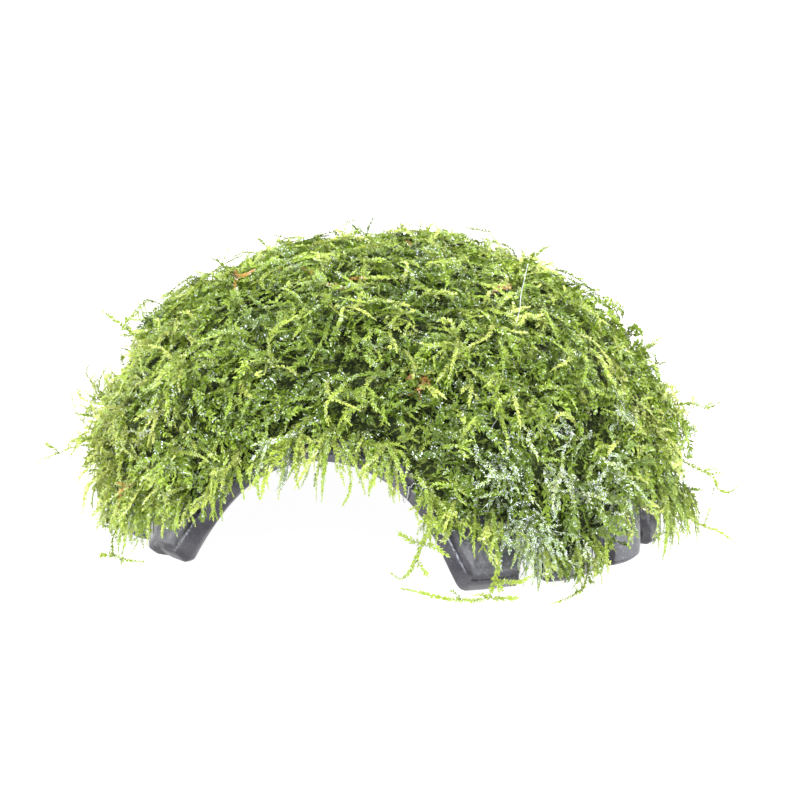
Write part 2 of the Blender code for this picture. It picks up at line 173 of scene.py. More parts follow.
def smooth_step(low, high, x):
    """0 below low, 1 above high, and 3t^2 - 2t^3 between."""
    t = np.clip((x - low) / (high - low), 0.0, 1.0)
    return t * t * (3.0 - 2.0 * t)


def bell(*terms):
    """A soft bump of height 1: e to the minus sum of ((value - middle) / width)^2 over the given terms."""
    return np.exp(-sum(((value - middle) / width) ** 2 for value, middle, width in terms))


def unit(vectors):
    """Each vector over its own length."""
    return vectors / np.maximum(np.linalg.norm(vectors, axis=-1, keepdims=True), 1e-9)


print("a closed grid of 3 x 4 points has", len(grid_faces(3, 4)), "quads")

# %% [markdown]
# ## Two effects that several finishes share
# Everything here has just left the water, so it wears a broken film: glossy where it is wet, duller where
# it has drained. A shader node group gives each finish that film as a roughness and a coat mask. A second
# group gives a colour that wanders between three shades at two scales, with a height for fine bumps. Both
# read Object coordinates, so the pattern stays on the object.

# %% Shader node groups
COLOUR, NUMBER = "NodeSocketColor", "NodeSocketFloat"
FILM_EDGES = (0.4, 0.62)
CLOUD_EDGES = (0.35, 0.65)
SPECK_EDGES = (0.52, 0.72)


def new_group(name, inputs, outputs):
    """An empty shader node group. Its inputs and outputs are given as names with their kinds."""
    group = bpy.data.node_groups.new(name, "ShaderNodeTree")
    for side, sockets in (("INPUT", inputs), ("OUTPUT", outputs)):
        for label, kind in sockets.items():
            group.interface.new_socket(label, in_out=side, socket_type=kind)
    return group, group.nodes.new("NodeGroupInput").outputs, group.nodes.new("NodeGroupOutput")


def feed(tree, node, values):
    """Values for a node's inputs: a socket is linked to its input, and anything else is set on it."""
    for label, value in values.items():
        if isinstance(value, bpy.types.NodeSocket):
            tree.links.new(value, node.inputs[label])
        else:
            node.inputs[label].default_value = value


def add_node(tree, kind, values=None, **settings):
    """A shader node of a kind. Its settings come first, because they can change its inputs."""
    node = tree.nodes.new("ShaderNode" + kind)
    for label, value in settings.items():
        setattr(node, label, value)
    feed(tree, node, values or {})
    return node


def object_place(tree):
    return add_node(tree, "TexCoord").outputs["Object"]


def add_noise(tree, place, scale, detail):
    """A noise texture at a place. Its scale is a number or a socket."""
    return add_node(tree, "TexNoise", {"Vector": place, "Scale": scale, "Detail": detail}).outputs["Fac"]


def map_range(tree, value, source, target=(0.0, 1.0)):
    """A linear change of a value from one range to another, kept within it. Ends can be sockets."""
    labels = ("Value", "From Min", "From Max", "To Min", "To Max")
    return add_node(tree, "MapRange", dict(zip(labels, (value, *source, *target)))).outputs["Result"]


def mix_colours(tree, share, first, second):
    """A mix of two colours. Each is a socket or a tuple, and the share is a socket."""
    mix = add_node(tree, "Mix", data_type="RGBA")
    at = {socket.name: number for number, socket in enumerate(mix.inputs) if socket.enabled}
    feed(tree, mix, {at["Factor"]: share, at["A"]: first, at["B"]: second})
    return next(socket for socket in mix.outputs if socket.enabled)


def make_water_film():
    """A noise at the given scale, turned into a roughness and a coat mask."""
    inputs = {"Scale": NUMBER, "Wet": NUMBER, "Drained": NUMBER}
    group, given, out = new_group("water_film", inputs, {"Roughness": NUMBER, "Coat": NUMBER})
    film = add_noise(group, object_place(group), given["Scale"], 3.0)
    feed(group, out, {
        "Roughness": map_range(group, film, FILM_EDGES, (given["Wet"], given["Drained"])),
        "Coat": map_range(group, film, FILM_EDGES, (1.0, 0.1)),
    })
    return group


def make_shades():
    """Three shades mixed by a coarse and a fine noise, and the fine noise as a height."""
    inputs = {"Base": COLOUR, "Dark": COLOUR, "Light": COLOUR, "Coarse": NUMBER, "Fine": NUMBER}
    group, given, out = new_group("wandering_shades", inputs, {"Color": COLOUR, "Height": NUMBER})
    place = object_place(group)
    cloud = map_range(group, add_noise(group, place, given["Coarse"], 4.0), CLOUD_EDGES)
    fine = add_noise(group, place, given["Fine"], 6.0)
    body = mix_colours(group, cloud, given["Dark"], given["Base"])
    specked = mix_colours(group, map_range(group, fine, SPECK_EDGES), body, given["Light"])
    feed(group, out, {"Color": specked, "Height": fine})
    return group


WATER_FILM = make_water_film()
SHADES = make_shades()
print("groups:", WATER_FILM.name, "and", SHADES.name)

# %% [markdown]
# ## Materials as short recipes
# Every finish is one Principled shader. Its plain values are set on the shader's own sockets. What changes
# over the surface is linked in: the shared groups, some fine relief, or a value that the mesh carries for
# each of its points. The helpers place those, so that a finish can be read as a recipe.

# %% Material helpers
def new_material(name, **values):
    """A Principled material whose uniform values are set on the shader's own sockets."""
    material = bpy.data.materials.new(name)
    material.use_nodes = True
    tree = material.node_tree
    shader = tree.nodes["Principled BSDF"]
    feed(tree, shader, {label.replace("_", " "): value for label, value in values.items()})
    return material, tree, shader


def add_bump(tree, shader, height, distance):
    """Fine relief, as deep as the distance in millimetres."""
    bump = add_node(tree, "Bump", {"Distance": distance * MM, "Height": height})
    feed(tree, shader, {"Normal": bump.outputs["Normal"]})


def add_shades(tree, colours, coarse, fine):
    """The wandering shades of a base, a dark and a light colour, placed in a material."""
    values = dict(zip(("Base", "Dark", "Light"), [(*colour, 1) for colour in colours]))
    return add_node(tree, "Group", {**values, "Coarse": coarse, "Fine": fine}, node_tree=SHADES).outputs


def add_film(tree, shader, scale, wet, drained, coated=True):
    """The broken film of water on a material."""
    values = {"Scale": scale, "Wet": wet, "Drained": drained}
    film = add_node(tree, "Group", values, node_tree=WATER_FILM).outputs
    feed(tree, shader, {"Roughness": film["Roughness"]})
    if coated:
        feed(tree, shader, {"Coat Weight": film["Coat"]})


print("a finish takes its water from", WATER_FILM.name)

# %% [markdown]
# ## The slate finish
# The real shell is moulded in dark, violet-grey plastic. The frame round its mouth is coloured darker than
# the panels. The panels are paler partly because scuffs and a dried film have made them so, and partly as
# painted light, since they face up towards the light, while the frame turns away from it into painted shade.
# Two materials would meet in a hard seam, so one finish mixes two sets of shades by a value that the mesh
# carries,
# "panel". A second value marks the lip of the mouth, and the fine noise breaks it into a painted highlight: a
# pale line in the colour where water catches the light.

# %% Slate finish
# The bands are coloured darker and the panels paler: partly scuffs and a dried film on the panels, and partly
# painted shade and light.
BAND_SHADES = ((0.026, 0.024, 0.034), (0.016, 0.015, 0.022), (0.045, 0.043, 0.056))
PANEL_SHADES = ((0.1, 0.103, 0.117), (0.06, 0.06, 0.072), (0.16, 0.163, 0.178))
# The colour of the painted highlight along the lip.
PAINTED_GLINT_COLOUR = (0.42, 0.44, 0.52, 1)


def carried(tree, label):
    """A value that the mesh carries for each of its points."""
    return add_node(tree, "Attribute", attribute_name=label).outputs["Fac"]


def make_slate():
    """Dark bands round the mouth and paler panels between them, partly painted shade and light, a painted
    highlight as a broken pale line on the lip, and a film of water over all of it."""
    values = {"Coat_Roughness": 0.05, "IOR": 1.5, "Specular_IOR_Level": 0.3}
    material, tree, shader = new_material("slate_moulding", **values)
    band = add_shades(tree, BAND_SHADES, 90.0, 1500.0)
    face = add_shades(tree, PANEL_SHADES, 120.0, 1500.0)
    mixed = mix_colours(tree, carried(tree, "panel"), band["Color"], face["Color"])
    breaks = map_range(tree, face["Height"], (0.4, 0.56), (0.1, 0.85))
    # The painted highlight: a pale line in the colour along the lip, broken by the fine noise.
    line = add_node(tree, "Math", {0: carried(tree, "painted_glint"), 1: breaks}, operation="MULTIPLY")
    feed(tree, shader, {"Base Color": mix_colours(tree, line.outputs["Value"], mixed, PAINTED_GLINT_COLOUR)})
    add_film(tree, shader, 130.0, wet=0.16, drained=0.34)
    add_bump(tree, shader, face["Height"], 0.02)
    return material


slate = make_slate()
print("finish:", slate.name)

# %% [markdown]
# ## The finish of the mat's ground
# Between the shoots one looks down on old, bare stems in deep shade. They could be modelled, but hardly one
# of them is seen whole, so a web drawn by a ridged noise stands for them: thin brown-green ridges over
# near-black gaps, with hardly any gloss. The near-black is painted shade, the mat's deep shade put into the
# colour.

# %% Ground finish
# Near-black colours for the ground: painted shade between the shoots.
PAINTED_SHADE_GROUND = ((0.02, 0.032, 0.007), (0.005, 0.008, 0.003), (0.08, 0.11, 0.022))
STEM_COLOUR = (0.24, 0.31, 0.06, 1)
STEM_WEB = {"Scale": 420.0, "Detail": 2.0, "Offset": 1.0, "Gain": 1.6, "Distortion": 0.6}
STEM_EDGES = (1.25, 1.6)


def make_ground_finish():
    """The wandering near-black shades, which are painted shade, with the web of stems over them, as a colour
    and as relief.
    """
    material, tree, shader = new_material("moss_stems_and_painted_shade", Specular_IOR_Level=0.1)
    shades = add_shades(tree, PAINTED_SHADE_GROUND, 200.0, 1300.0)
    values = {"Vector": object_place(tree), **STEM_WEB}
    web = add_node(tree, "TexNoise", values, noise_type="RIDGED_MULTIFRACTAL")
    ridges = map_range(tree, web.outputs["Fac"], STEM_EDGES)
    feed(tree, shader, {"Base Color": mix_colours(tree, ridges, shades["Color"], STEM_COLOUR)})
    add_film(tree, shader, 500.0, wet=0.55, drained=0.9, coated=False)
    add_bump(tree, shader, ridges, 0.5)
    return material


ground_stems_and_shade = make_ground_finish()
print("finish:", ground_stems_and_shade.name)

# %% [markdown]
# ## The dome's surface
# The shell is a fluted dome of even wall. Plainly, it is a superellipse of revolution: its radius at a
# height z is R (1 - (z/H)^n)^(1/n). Fourteen upright lobes run round the back, from the right front foot to
# the left one, and the grooves between them fade out on the way up. The wall is measured in a flat chart,
# with x running along the foot circle and z straight up, so that edges and bands keep their real widths.

# %% Dome formulas
FOOT_RADIUS = 64.5
DOME_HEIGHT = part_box("cave_shell")[1].z / MM
WALL = 4.3
SQUARENESS = 2.2
RIGHT_FOOT_END = 44.6
LEFT_FOOT_END = -48.2
LOBES = 14
LOBE_PITCH = (360.0 + LEFT_FOOT_END - RIGHT_FOOT_END) / LOBES
FLUTE_DEPTH = 4.2
FLUTE_FULL_BELOW, FLUTE_GONE_ABOVE = 10.0, 42.0
MM_PER_DEGREE = FOOT_RADIUS * np.pi / 180.0
ROUND_THE_FOOT = 360.0 * MM_PER_DEGREE


def superellipse(share):
    """The radius as a share of R at a share of the height: (1 - share^n)^(1/n)."""
    return (1.0 - share**SQUARENESS) ** (1.0 / SQUARENESS)


def share_at(angle):
    """The same curve drawn by an angle from the crown: the share of the height is cos(angle)^(2/n)."""
    return np.cos(angle) ** (2.0 / SQUARENESS)


def angle_at(share):
    """The angle that belongs to a share of the height: arccos(share^(n/2))."""
    return np.arccos(share ** (SQUARENESS / 2.0))


def profile_radius(height, inset=0.0):
    """Radius of the plain dome at a height. The inset moves the skin inwards all over."""
    return (FOOT_RADIUS - inset) * superellipse(np.clip(height / (DOME_HEIGHT - inset), 0.0, 1.0))


def front_turned(value, whole):
    """An angle or a length round the dome, counted from the middle of the mouth and negative on the left."""
    return (value + whole / 2) % whole - whole / 2


def flute_drop(azimuth, height):
    """How far the fluted skin lies inside the plain dome: 0 on a lobe's crest, deepest in a groove. With
    w = |cos| of the place between two grooves, it is 0.45 w^3 + 0.55 w^14 of the full depth."""
    turned = front_turned(azimuth, 360.0)
    wave = np.abs(np.cos(np.pi * (turned - RIGHT_FOOT_END) / LOBE_PITCH))
    front = (turned > LEFT_FOOT_END + LOBE_PITCH / 2) & (turned < RIGHT_FOOT_END - LOBE_PITCH / 2)
    wave = np.where(front, 0.0, wave)
    fade = 1.0 - smooth_step(FLUTE_FULL_BELOW, FLUTE_GONE_ABOVE, height)
    return FLUTE_DEPTH * fade * (0.45 * wave**3 + 0.55 * wave**14)


def wall_points(x, height, depth):
    """Points of the wall from the chart's x and height and the depth under the outer skin."""
    azimuth = x / MM_PER_DEGREE
    outer, inner = profile_radius(height), profile_radius(height, WALL)
    reach = outer + (inner - outer) * depth / WALL - flute_drop(azimuth, height)
    return on_circle(azimuth, reach, height)


print("dome:", round(2 * FOOT_RADIUS), "mm across,", round(DOME_HEIGHT), "mm high, lobes every",
      round(LOBE_PITCH, 1), "degrees")

# %% [markdown]
# ## The free edge
# The shell's lower edge is one closed line: over the mouth, down its right side, along the right front
# foot, up and down a half-round notch between every two lobes, and back along the left front foot. It is
# drawn once in the flat chart, with its corners rounded, and then cut into even steps. Each side of the
# mouth is the formula x = (a - b z) (1 - (z/h)^m)^(1/2), a leaning side with a rounded crown. The left side
# leans more than the right one.

# %% Draw the free edge
MOUTH_RIGHT = (30.0, 0.45)
MOUTH_LEFT = (33.4, 0.62)
MOUTH_HEIGHT = 27.0
MOUTH_ROUNDING = 4.6
MOUTH_BEVEL = 2.3
MOUTH_CORNER = 2.6
NOTCH_HALF_WIDTH = 3.1
NOTCH_HEIGHT = 6.2
NOTCH_CORNER = 1.3
FOOT_BEVEL = 0.95
EDGE_COLUMNS = 760
# A length for points that only give a direction.
AWAY = 9.0


def round_corner(before, corner, after, radius, steps=7):
    """An arc that touches the lines from a corner to the points before and after it."""
    corner = np.array(corner, float)
    back, on = unit(np.array(before) - corner), unit(np.array(after) - corner)
    half = np.arccos(np.clip(back @ on, -1.0, 1.0)) / 2
    middle = corner + unit(back + on) * radius / np.sin(half)
    start = corner + back * radius / np.tan(half) - middle
    end = corner + on * radius / np.tan(half) - middle
    t = np.linspace(0.0, 1.0, steps)[:, None]
    return middle + unit(start * (1 - t) + end * t) * radius


def mouth_side(reach, lean, steps=60):
    """One half of the mouth from the middle of its crown down to the foot, in the chart."""
    a = np.linspace(np.pi / 2, 0.0, steps)
    height = MOUTH_HEIGHT * np.sin(a) ** (2.0 / MOUTH_ROUNDING)
    aside = (reach - lean * height) * np.cos(a)
    azimuth = np.degrees(np.arcsin(aside / (profile_radius(height) - MOUTH_BEVEL)))
    return np.stack([azimuth * MM_PER_DEGREE, height], axis=1)


def notch_line(x):
    """A half-round notch at x, from the ground on its left to the ground on its right."""
    left, right = x - NOTCH_HALF_WIDTH, x + NOTCH_HALF_WIDTH
    spring = NOTCH_HEIGHT - NOTCH_HALF_WIDTH
    into = round_corner((left - AWAY, 0), (left, 0), (left, AWAY), NOTCH_CORNER)
    out = round_corner((right, AWAY), (right, 0), (right + AWAY, 0), NOTCH_CORNER)
    turn = np.linspace(np.pi, 0.0, 13)
    arch = np.stack([x + NOTCH_HALF_WIDTH * np.cos(turn), spring + NOTCH_HALF_WIDTH * np.sin(turn)], axis=1)
    return np.concatenate([into, arch, out])


def rounded_side(reach, lean):
    """One half of the mouth with its corner at the foot rounded."""
    side = mouth_side(reach, lean)
    straight = side[side[:, 1] > 0.8 * MOUTH_CORNER]
    corner = round_corner(straight[-1], side[-1], side[-1] + (AWAY, 0), MOUTH_CORNER)
    return np.concatenate([straight, corner])


def free_edge():
    """The whole edge in the chart, and the middles of its feet, where columns keep their place."""
    right = rounded_side(*MOUTH_RIGHT)
    left = rounded_side(*MOUTH_LEFT)[::-1] * (-1, 1) + (ROUND_THE_FOOT, 0)
    notches = [(RIGHT_FOOT_END + i * LOBE_PITCH) * MM_PER_DEGREE for i in range(LOBES + 1)]
    line = np.concatenate([right] + [notch_line(x) for x in notches] + [left])
    ends = [right[-1, 0], *notches, left[0, 0]]
    middles = [(a + b) / 2 for a, b in zip(ends, ends[1:])]
    return line, np.array([0.0, *middles, ROUND_THE_FOOT])


def even_steps(line, count, closed):
    """The line cut into equal steps. Also how far along it the new points and the old ones lie."""
    run = np.concatenate([[0.0], np.cumsum(np.linalg.norm(np.diff(line, axis=0), axis=1))])
    along = np.linspace(0.0, run[-1], count, endpoint=not closed)
    return np.stack([np.interp(along, run, column) for column in line.T], axis=1), along, run


edge_line, foot_middles = free_edge()
edge, edge_along, edge_run = even_steps(edge_line, EDGE_COLUMNS, closed=True)
print("free edge:", round(edge_run[-1]), "mm long,", len(foot_middles) - 2, "feet")

# %% [markdown]
# ## The shell
# The outer skin starts at the free edge and fans out into even columns towards the crown, so there is no
# seam where the notches end. The rim is a profile carried along the edge: a bevel, the wall's flat end and
# a small inner rounding. It is wide round the mouth and narrow under the lobes. A low step runs at an
# even distance inside the mouth's edge and the front feet, as on the real moulding.

# %% Measures along the edge
BEVEL_ENDS = (44.0, 47.0)
FRONT_HALF = 45.0


def inward(points):
    """At each point of the closed edge, the direction into the wall: the tangent turned left."""
    before, after = np.roll(points, 1, axis=0), np.roll(points, -1, axis=0)
    before[0, 0] -= ROUND_THE_FOOT
    after[-1, 0] += ROUND_THE_FOOT
    tangent = unit(after - before)
    return np.stack([-tangent[:, 1], tangent[:, 0]], axis=1)


def regular_columns():
    """Where each column goes at the top of the fan: spread evenly between the middles of the feet."""
    bottom = np.maximum.accumulate(edge_line[:, 0] + 1e-9 * np.arange(len(edge_line)))
    knots = np.interp(foot_middles, bottom, edge_run)
    return np.interp(edge_along, knots, foot_middles)


def bevel_width():
    """Wide round the mouth and under the front feet, narrow from there on round the back."""
    near = 1.0 - smooth_step(*BEVEL_ENDS, np.abs(front_turned(edge[:, 0], ROUND_THE_FOOT)))
    return FOOT_BEVEL + (MOUTH_BEVEL - FOOT_BEVEL) * near


def gap_to_edge(x, height):
    """Distance in the chart from each point to the nearest point of the front part of the free edge."""
    turned, line = (front_turned(place, ROUND_THE_FOOT) for place in (x, edge[:, 0]))
    front = np.abs(line) < FRONT_HALF
    aside = turned[..., None] - line[front]
    above = height[..., None] - edge[front, 1]
    return np.sqrt((aside**2 + above**2).min(axis=-1))


into_wall, bevel, regular = inward(edge), bevel_width(), regular_columns()
print("bevel from", round(bevel.min(), 2), "to", round(bevel.max(), 2), "mm wide")

# %% [markdown]
# ## The shell's skins
# With the edge measured, the shell is a stack of rows with one point in each column: the outer crown, the
# outer fan, the rim, the inner fan and the inner crown. Small rises are added to the outer fan: the low step,
# a lip round the mouth, and the slight waviness of a cast surface. The mesh also carries the two values that
# the slate finish reads.

# %% Make the shell
FAN_TOP = 40.0
FAN_ROWS, INNER_ROWS, CROWN_ROWS = 38, 14, 10
ROW_SPACING, SPREAD_POWER = 1.5, 2.5
PAST_BEVEL = 0.3
STEP_HEIGHT, STEP_EDGES, STEP_ENDS = 0.5, (3.9, 4.6), (46.0, 49.0)
LIP_AT, LIP_HEIGHT, LIP_WIDTH = 2.7, 0.14, 0.28
# Width of the painted highlight on the lip, and the heights over which it fades in.
PAINTED_GLINT_WIDTH, PAINTED_GLINT_FADE = 0.16, (3.5, 8.0)
WAVINESS = 0.12
# Each pair is how much of the bevel's width is left, and how deep it lies.
BEVEL_PROFILE = ((0.0, 0.0), (0.06, 0.02), (0.3, 0.22), (0.7, 0.65), (0.94, 0.9), (1.0, 1.0))
# Each pair is the distance from the edge line, and the depth under the outer skin.
INNER_ROUNDING = ((0.0, WALL - 0.6), (0.1, WALL - 0.2), (0.45, WALL))


def fan_out(t, reach, power):
    """Rows in the chart, from the rim at t = 0 to even columns at t = 1. The x of each column nears its
    even place as 1 - (1 - t)^2.5, and the first row stands off the edge by the reach, which fades out."""
    spread = 1.0 - (1.0 - t) ** SPREAD_POWER
    offset = reach * into_wall.T
    x = edge[:, 0] * (1 - spread) + regular * spread + offset[0] * (1 - t) ** power
    return x, edge[:, 1] * (1 - t) + FAN_TOP * t + offset[1] * (1 - t) ** power


def crown_points(angles, inset):
    """Rows of a skin above the fan, at angles from the crown."""
    azimuth, z = regular / MM_PER_DEGREE, (DOME_HEIGHT - inset) * share_at(angles)[:, None]
    return on_circle(azimuth, profile_radius(z, inset) - flute_drop(azimuth, z), z)


def make_shell():
    """Outer skin from the crown down, the rim, and the inner skin up to its own crown."""
    t = (np.linspace(1.0, 0.0, FAN_ROWS) ** ROW_SPACING)[:, None]
    fan_x, fan_z = fan_out(t, bevel + PAST_BEVEL, 3)
    gap = gap_to_edge(fan_x, fan_z)
    panel = smooth_step(*STEP_EDGES, gap)
    at_front = 1.0 - smooth_step(*STEP_ENDS, np.abs(front_turned(fan_x, ROUND_THE_FOOT)))
    proud = STEP_HEIGHT * panel * at_front + LIP_HEIGHT * bell((gap, LIP_AT, LIP_WIDTH))
    ripple = WAVINESS * np.sin(fan_x / 7.0 + np.sin(fan_z / 5.0)) * np.sin(fan_z / 6.0 + fan_x / 19.0)
    fan = wall_points(fan_x, fan_z, -proud - ripple * t)

    rim = [wall_points(*(edge + bevel[:, None] * into_wall * (1 - a)).T, bevel * b) for a, b in BEVEL_PROFILE]
    rim += [wall_points(*(edge + into_wall * aside).T, depth) for aside, depth in INNER_ROUNDING]
    s = np.linspace(0.0, 1.0, INNER_ROWS)[1:, None]
    inner = wall_points(*fan_out(s, INNER_ROUNDING[-1][0], 1), WALL)

    inner_height = DOME_HEIGHT - WALL
    down = np.linspace(0.0, angle_at(FAN_TOP / DOME_HEIGHT), CROWN_ROWS + 1)[1:-1]
    up = np.linspace(angle_at(FAN_TOP / inner_height), 0.0, CROWN_ROWS)[1:-1]
    crown, vault = crown_points(down, 0.0), crown_points(up, WALL)

    rows = np.concatenate([crown, fan, np.stack(rim), inner, vault])
    points = np.concatenate([rows.reshape(-1, 3), [[0, 0, DOME_HEIGHT], [0, 0, inner_height]]])
    piece = add_piece("shell_moulding", points, closed_faces(*rows.shape[:2]), slate)
    fanned = slice(len(crown), len(crown) + len(fan))
    shade, painted_glint = np.zeros((2, *rows.shape[:2]))
    # The band and panel colours mix by this value: partly painted shade and light.
    shade[: len(crown)] = 1.0
    shade[fanned] = panel
    # The painted highlight along the lip, faded out towards the ground.
    painted_glint[fanned] = bell((gap, LIP_AT, PAINTED_GLINT_WIDTH)) * smooth_step(*PAINTED_GLINT_FADE, fan_z)
    for label, field, ends in (("panel", shade, [1.0, 0.0]), ("painted_glint", painted_glint, [0.0, 0.0])):
        layer = piece.data.attributes.new(label, "FLOAT", "POINT")
        layer.data.foreach_set("value", np.append(field.ravel(), ends).astype(np.float32))
    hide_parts("cave_shell")
    return piece


shell = make_shell()
print("shell:", len(shell.data.polygons), "faces")

# %% [markdown]
# ## Where moss may grow
# The mat lies on the dome, and its lower edge, the hem, has a height for every direction. Two measures are
# needed at any point in space: the direction straight off the dome, and the height over the dome's skin. Both
# come from the superellipse. With f = (r/R)^n + (z/H)^n, the skin is where f is 1, and the gradient of f
# points straight off it.

# %% Mat formulas
# Each pair of the hem is an azimuth and the height of the mat's lower edge there.
HEM = (
    (-180, 8), (-160, 5), (-140, 9), (-118, 6), (-98, 8), (-80, 5), (-66, 6), (-56, 3.5), (-47, 6), (-40, 10),
    (-34, 12), (-27, 13), (27, 16), (34, 14), (40, 12), (45, 7), (51, 3), (58, 3.5), (63, 9), (70, 12.5),
    (78, 11), (86, 6), (100, 5), (120, 8), (142, 5), (162, 9), (180, 8),
)
HEM_ABOVE_MOUTH = 3.5
SKIN_RADIUS, SKIN_TOP = 65.1, 59.6


def azimuth_of(points):
    """The azimuth in degrees: 0 in front, where -y points, and growing to the right."""
    return np.degrees(np.arctan2(points[..., 0], -points[..., 1]))


def hem_height(azimuth):
    """Height of the mat's lower edge. Over the mouth it keeps above the arch, a little more on the right."""
    turned = front_turned(np.asarray(azimuth), 360.0)
    chosen = np.interp(turned, *np.array(HEM, float).T)
    right, left = mouth_side(*MOUTH_RIGHT), mouth_side(*MOUTH_LEFT) * (-1, 1)
    outline = np.concatenate([left[::-1], right[1:]])
    arch = np.interp(turned, outline[:, 0] / MM_PER_DEGREE, outline[:, 1], left=-9.0, right=-9.0)
    return np.maximum(chosen, np.where(arch > 0, arch + HEM_ABOVE_MOUTH + 2.0 * turned / 27.0, 0.0))


def off_dome(points):
    """The unit direction straight off the dome at each point."""
    flat = np.hypot(points[..., 0], points[..., 1])
    pull = flat ** (SQUARENESS - 1.0) / SKIN_RADIUS**SQUARENESS
    lift = np.abs(points[..., 2]) ** (SQUARENESS - 1.0) / SKIN_TOP**SQUARENESS
    across = points[..., :2] / np.maximum(flat, 1e-6)[..., None]
    return unit(np.concatenate([across * pull[..., None], lift[..., None]], axis=-1))


def dome_measure(points):
    """1 on the dome's skin, and above 1 outside it: the n-th root of f."""
    flat = np.hypot(points[..., 0], points[..., 1])
    f = (flat / SKIN_RADIUS) ** SQUARENESS + (np.abs(points[..., 2]) / SKIN_TOP) ** SQUARENESS
    return f ** (1.0 / SQUARENESS)


def height_off_skin(points):
    """Roughly the distance from the dome's skin, measured along the line to the dome's centre."""
    return (1.0 - 1.0 / dome_measure(points)) * np.linalg.norm(points, axis=-1)


def skin_point(azimuth, share):
    """A point on the dome's skin. The share runs from 0 at the crown to 1 at the hem."""
    angle = share * angle_at(np.clip(hem_height(azimuth) / SKIN_TOP, 0, 1))
    reach = SKIN_RADIUS * np.sin(angle) ** (2.0 / SQUARENESS)
    return on_circle(azimuth, reach, SKIN_TOP * share_at(angle))


print("hem height at the middle of the mouth:", round(float(hem_height(0.0)), 1), "mm")

# %% [markdown]
# ## The dark ground of the mat
# Under the visible shoots, a mat of moss is a dense tangle of old brown-green stems. That ground is one
# closed, lumpy layer. It starts just off the shell and is only part of the mat's thickness, so that the
# gaps between shoots look deep. Its near-black finish is painted shade.

# %% Make the ground
GROUND_COLUMNS, GROUND_ROWS = 240, 46
GROUND_THICKNESS = 2.5
GROUND_LUMPS = 1.3
GROUND_SINK = 0.3
GROUND_END = 0.965
ROUND_FROM, ROUND_WIDTH, THINNEST = 0.9, 0.11, 0.03
INSIDE_EVERY = 6


def ground_lumps(points):
    """Rounded lumps: sines of three slanted directions in space, multiplied and added."""
    x, y, z = points[..., 0], points[..., 1], points[..., 2]
    wide = np.sin(x / 4.1 + z / 9.0) * np.sin(y / 4.7 - z / 5.3 + 1.0)
    small = np.sin(x / 1.9 - y / 2.3 + 2.0) * np.sin(z / 1.7 + y / 2.9)
    return GROUND_LUMPS * (0.6 * wide + 0.4 * small)


def make_ground():
    """Outer face from the crown down to the hem, round the hem, and the inner face back up."""
    azimuth = np.linspace(-180.0, 180.0, GROUND_COLUMNS, endpoint=False)
    share = np.linspace(0.0, 1.0, GROUND_ROWS)[1:, None]
    inner = skin_point(azimuth, GROUND_END * share)
    normal = off_dome(inner)
    rounding = ((share - ROUND_FROM) / ROUND_WIDTH).clip(0) ** 2
    edge_round = np.sqrt(np.clip(1.0 - rounding, THINNEST, 1.0))
    thickness = (GROUND_THICKNESS + ground_lumps(inner)) * edge_round
    outer = inner + normal * thickness[..., None]
    inside = (inner - normal * GROUND_SINK)[::-INSIDE_EVERY]
    rows = np.concatenate([outer, inside])
    poles = [[0, 0, SKIN_TOP + GROUND_THICKNESS], [0, 0, SKIN_TOP - GROUND_SINK]]
    points = np.concatenate([rows.reshape(-1, 3), poles])
    piece = add_piece("moss_ground", points, closed_faces(len(rows), GROUND_COLUMNS), ground_stems_and_shade)
    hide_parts("moss_mat")
    return piece


ground = make_ground()
print("ground:", len(ground.data.polygons), "faces")

# %% [markdown]
# ## Leafy shoots
# Java moss grows thin stems with pointed leaves a little under a millimetre long, set in rows. Two rows
# spread flat to the sides, and two more stand up from the stem. Each leaf is a kite of two triangles, folded
# along its middle. Its direction is cos(a) t + sin(a) o, where t runs along the stem, o points outward in the
# leaf's row, and the angle a narrows towards the tip of the shoot. All leaves of one row on all shoots are
# worked out in one go.
#
# Each shoot's map tells its material two things: u is the tone of the whole shoot, and v runs from its old
# base to its young tip.

# %% Leaves and stems
LEAF_LENGTH, LEAF_WIDTH = 0.85, 0.36
# As shares of a leaf's length: where it is widest, and how far its middle and its tip rise.
WIDEST_AT, FOLD_RISE, TIP_RISE = 0.42, 0.1, 0.08
STEM_RADIUS, STEM_TAPER = 0.14, 0.6
# On the map, a leaf or a stem reaches HALF_TONE to both sides of its tone. Ages start at OLDEST.
HALF_TONE = 0.002
OLDEST, AGES = 0.04, 0.82
KITE_AGES = np.array([0.0, 0.05, 0.12, 0.05])


def leaning(first, second, angle):
    """first cos(angle) + second sin(angle): the first direction, turned by the angle towards the second."""
    return first * np.cos(angle)[..., None] + second * np.sin(angle)[..., None]


def path_frames(paths, facing, roll):
    """At each point of each path: its tangent, its side, and the face direction, turned by the roll."""
    step = np.diff(paths, axis=1)
    tangent = unit(np.concatenate([step[:, :1], step[:, :-1] + step[:, 1:], step[:, -1:]], axis=1))
    side = unit(np.cross(tangent, facing))
    face = np.cross(side, tangent)
    return tangent, leaning(side, face, roll[:, None]), leaning(face, -side, roll[:, None])


def read_along(field, shoot, share):
    """A field that is known at the points of each path, read at a share of the path's length."""
    place = share * (field.shape[1] - 1)
    k = np.minimum(place.astype(int), field.shape[1] - 2)
    rest = (place - k)[:, None]
    return field[shoot, k] * (1 - rest) + field[shoot, k + 1] * rest


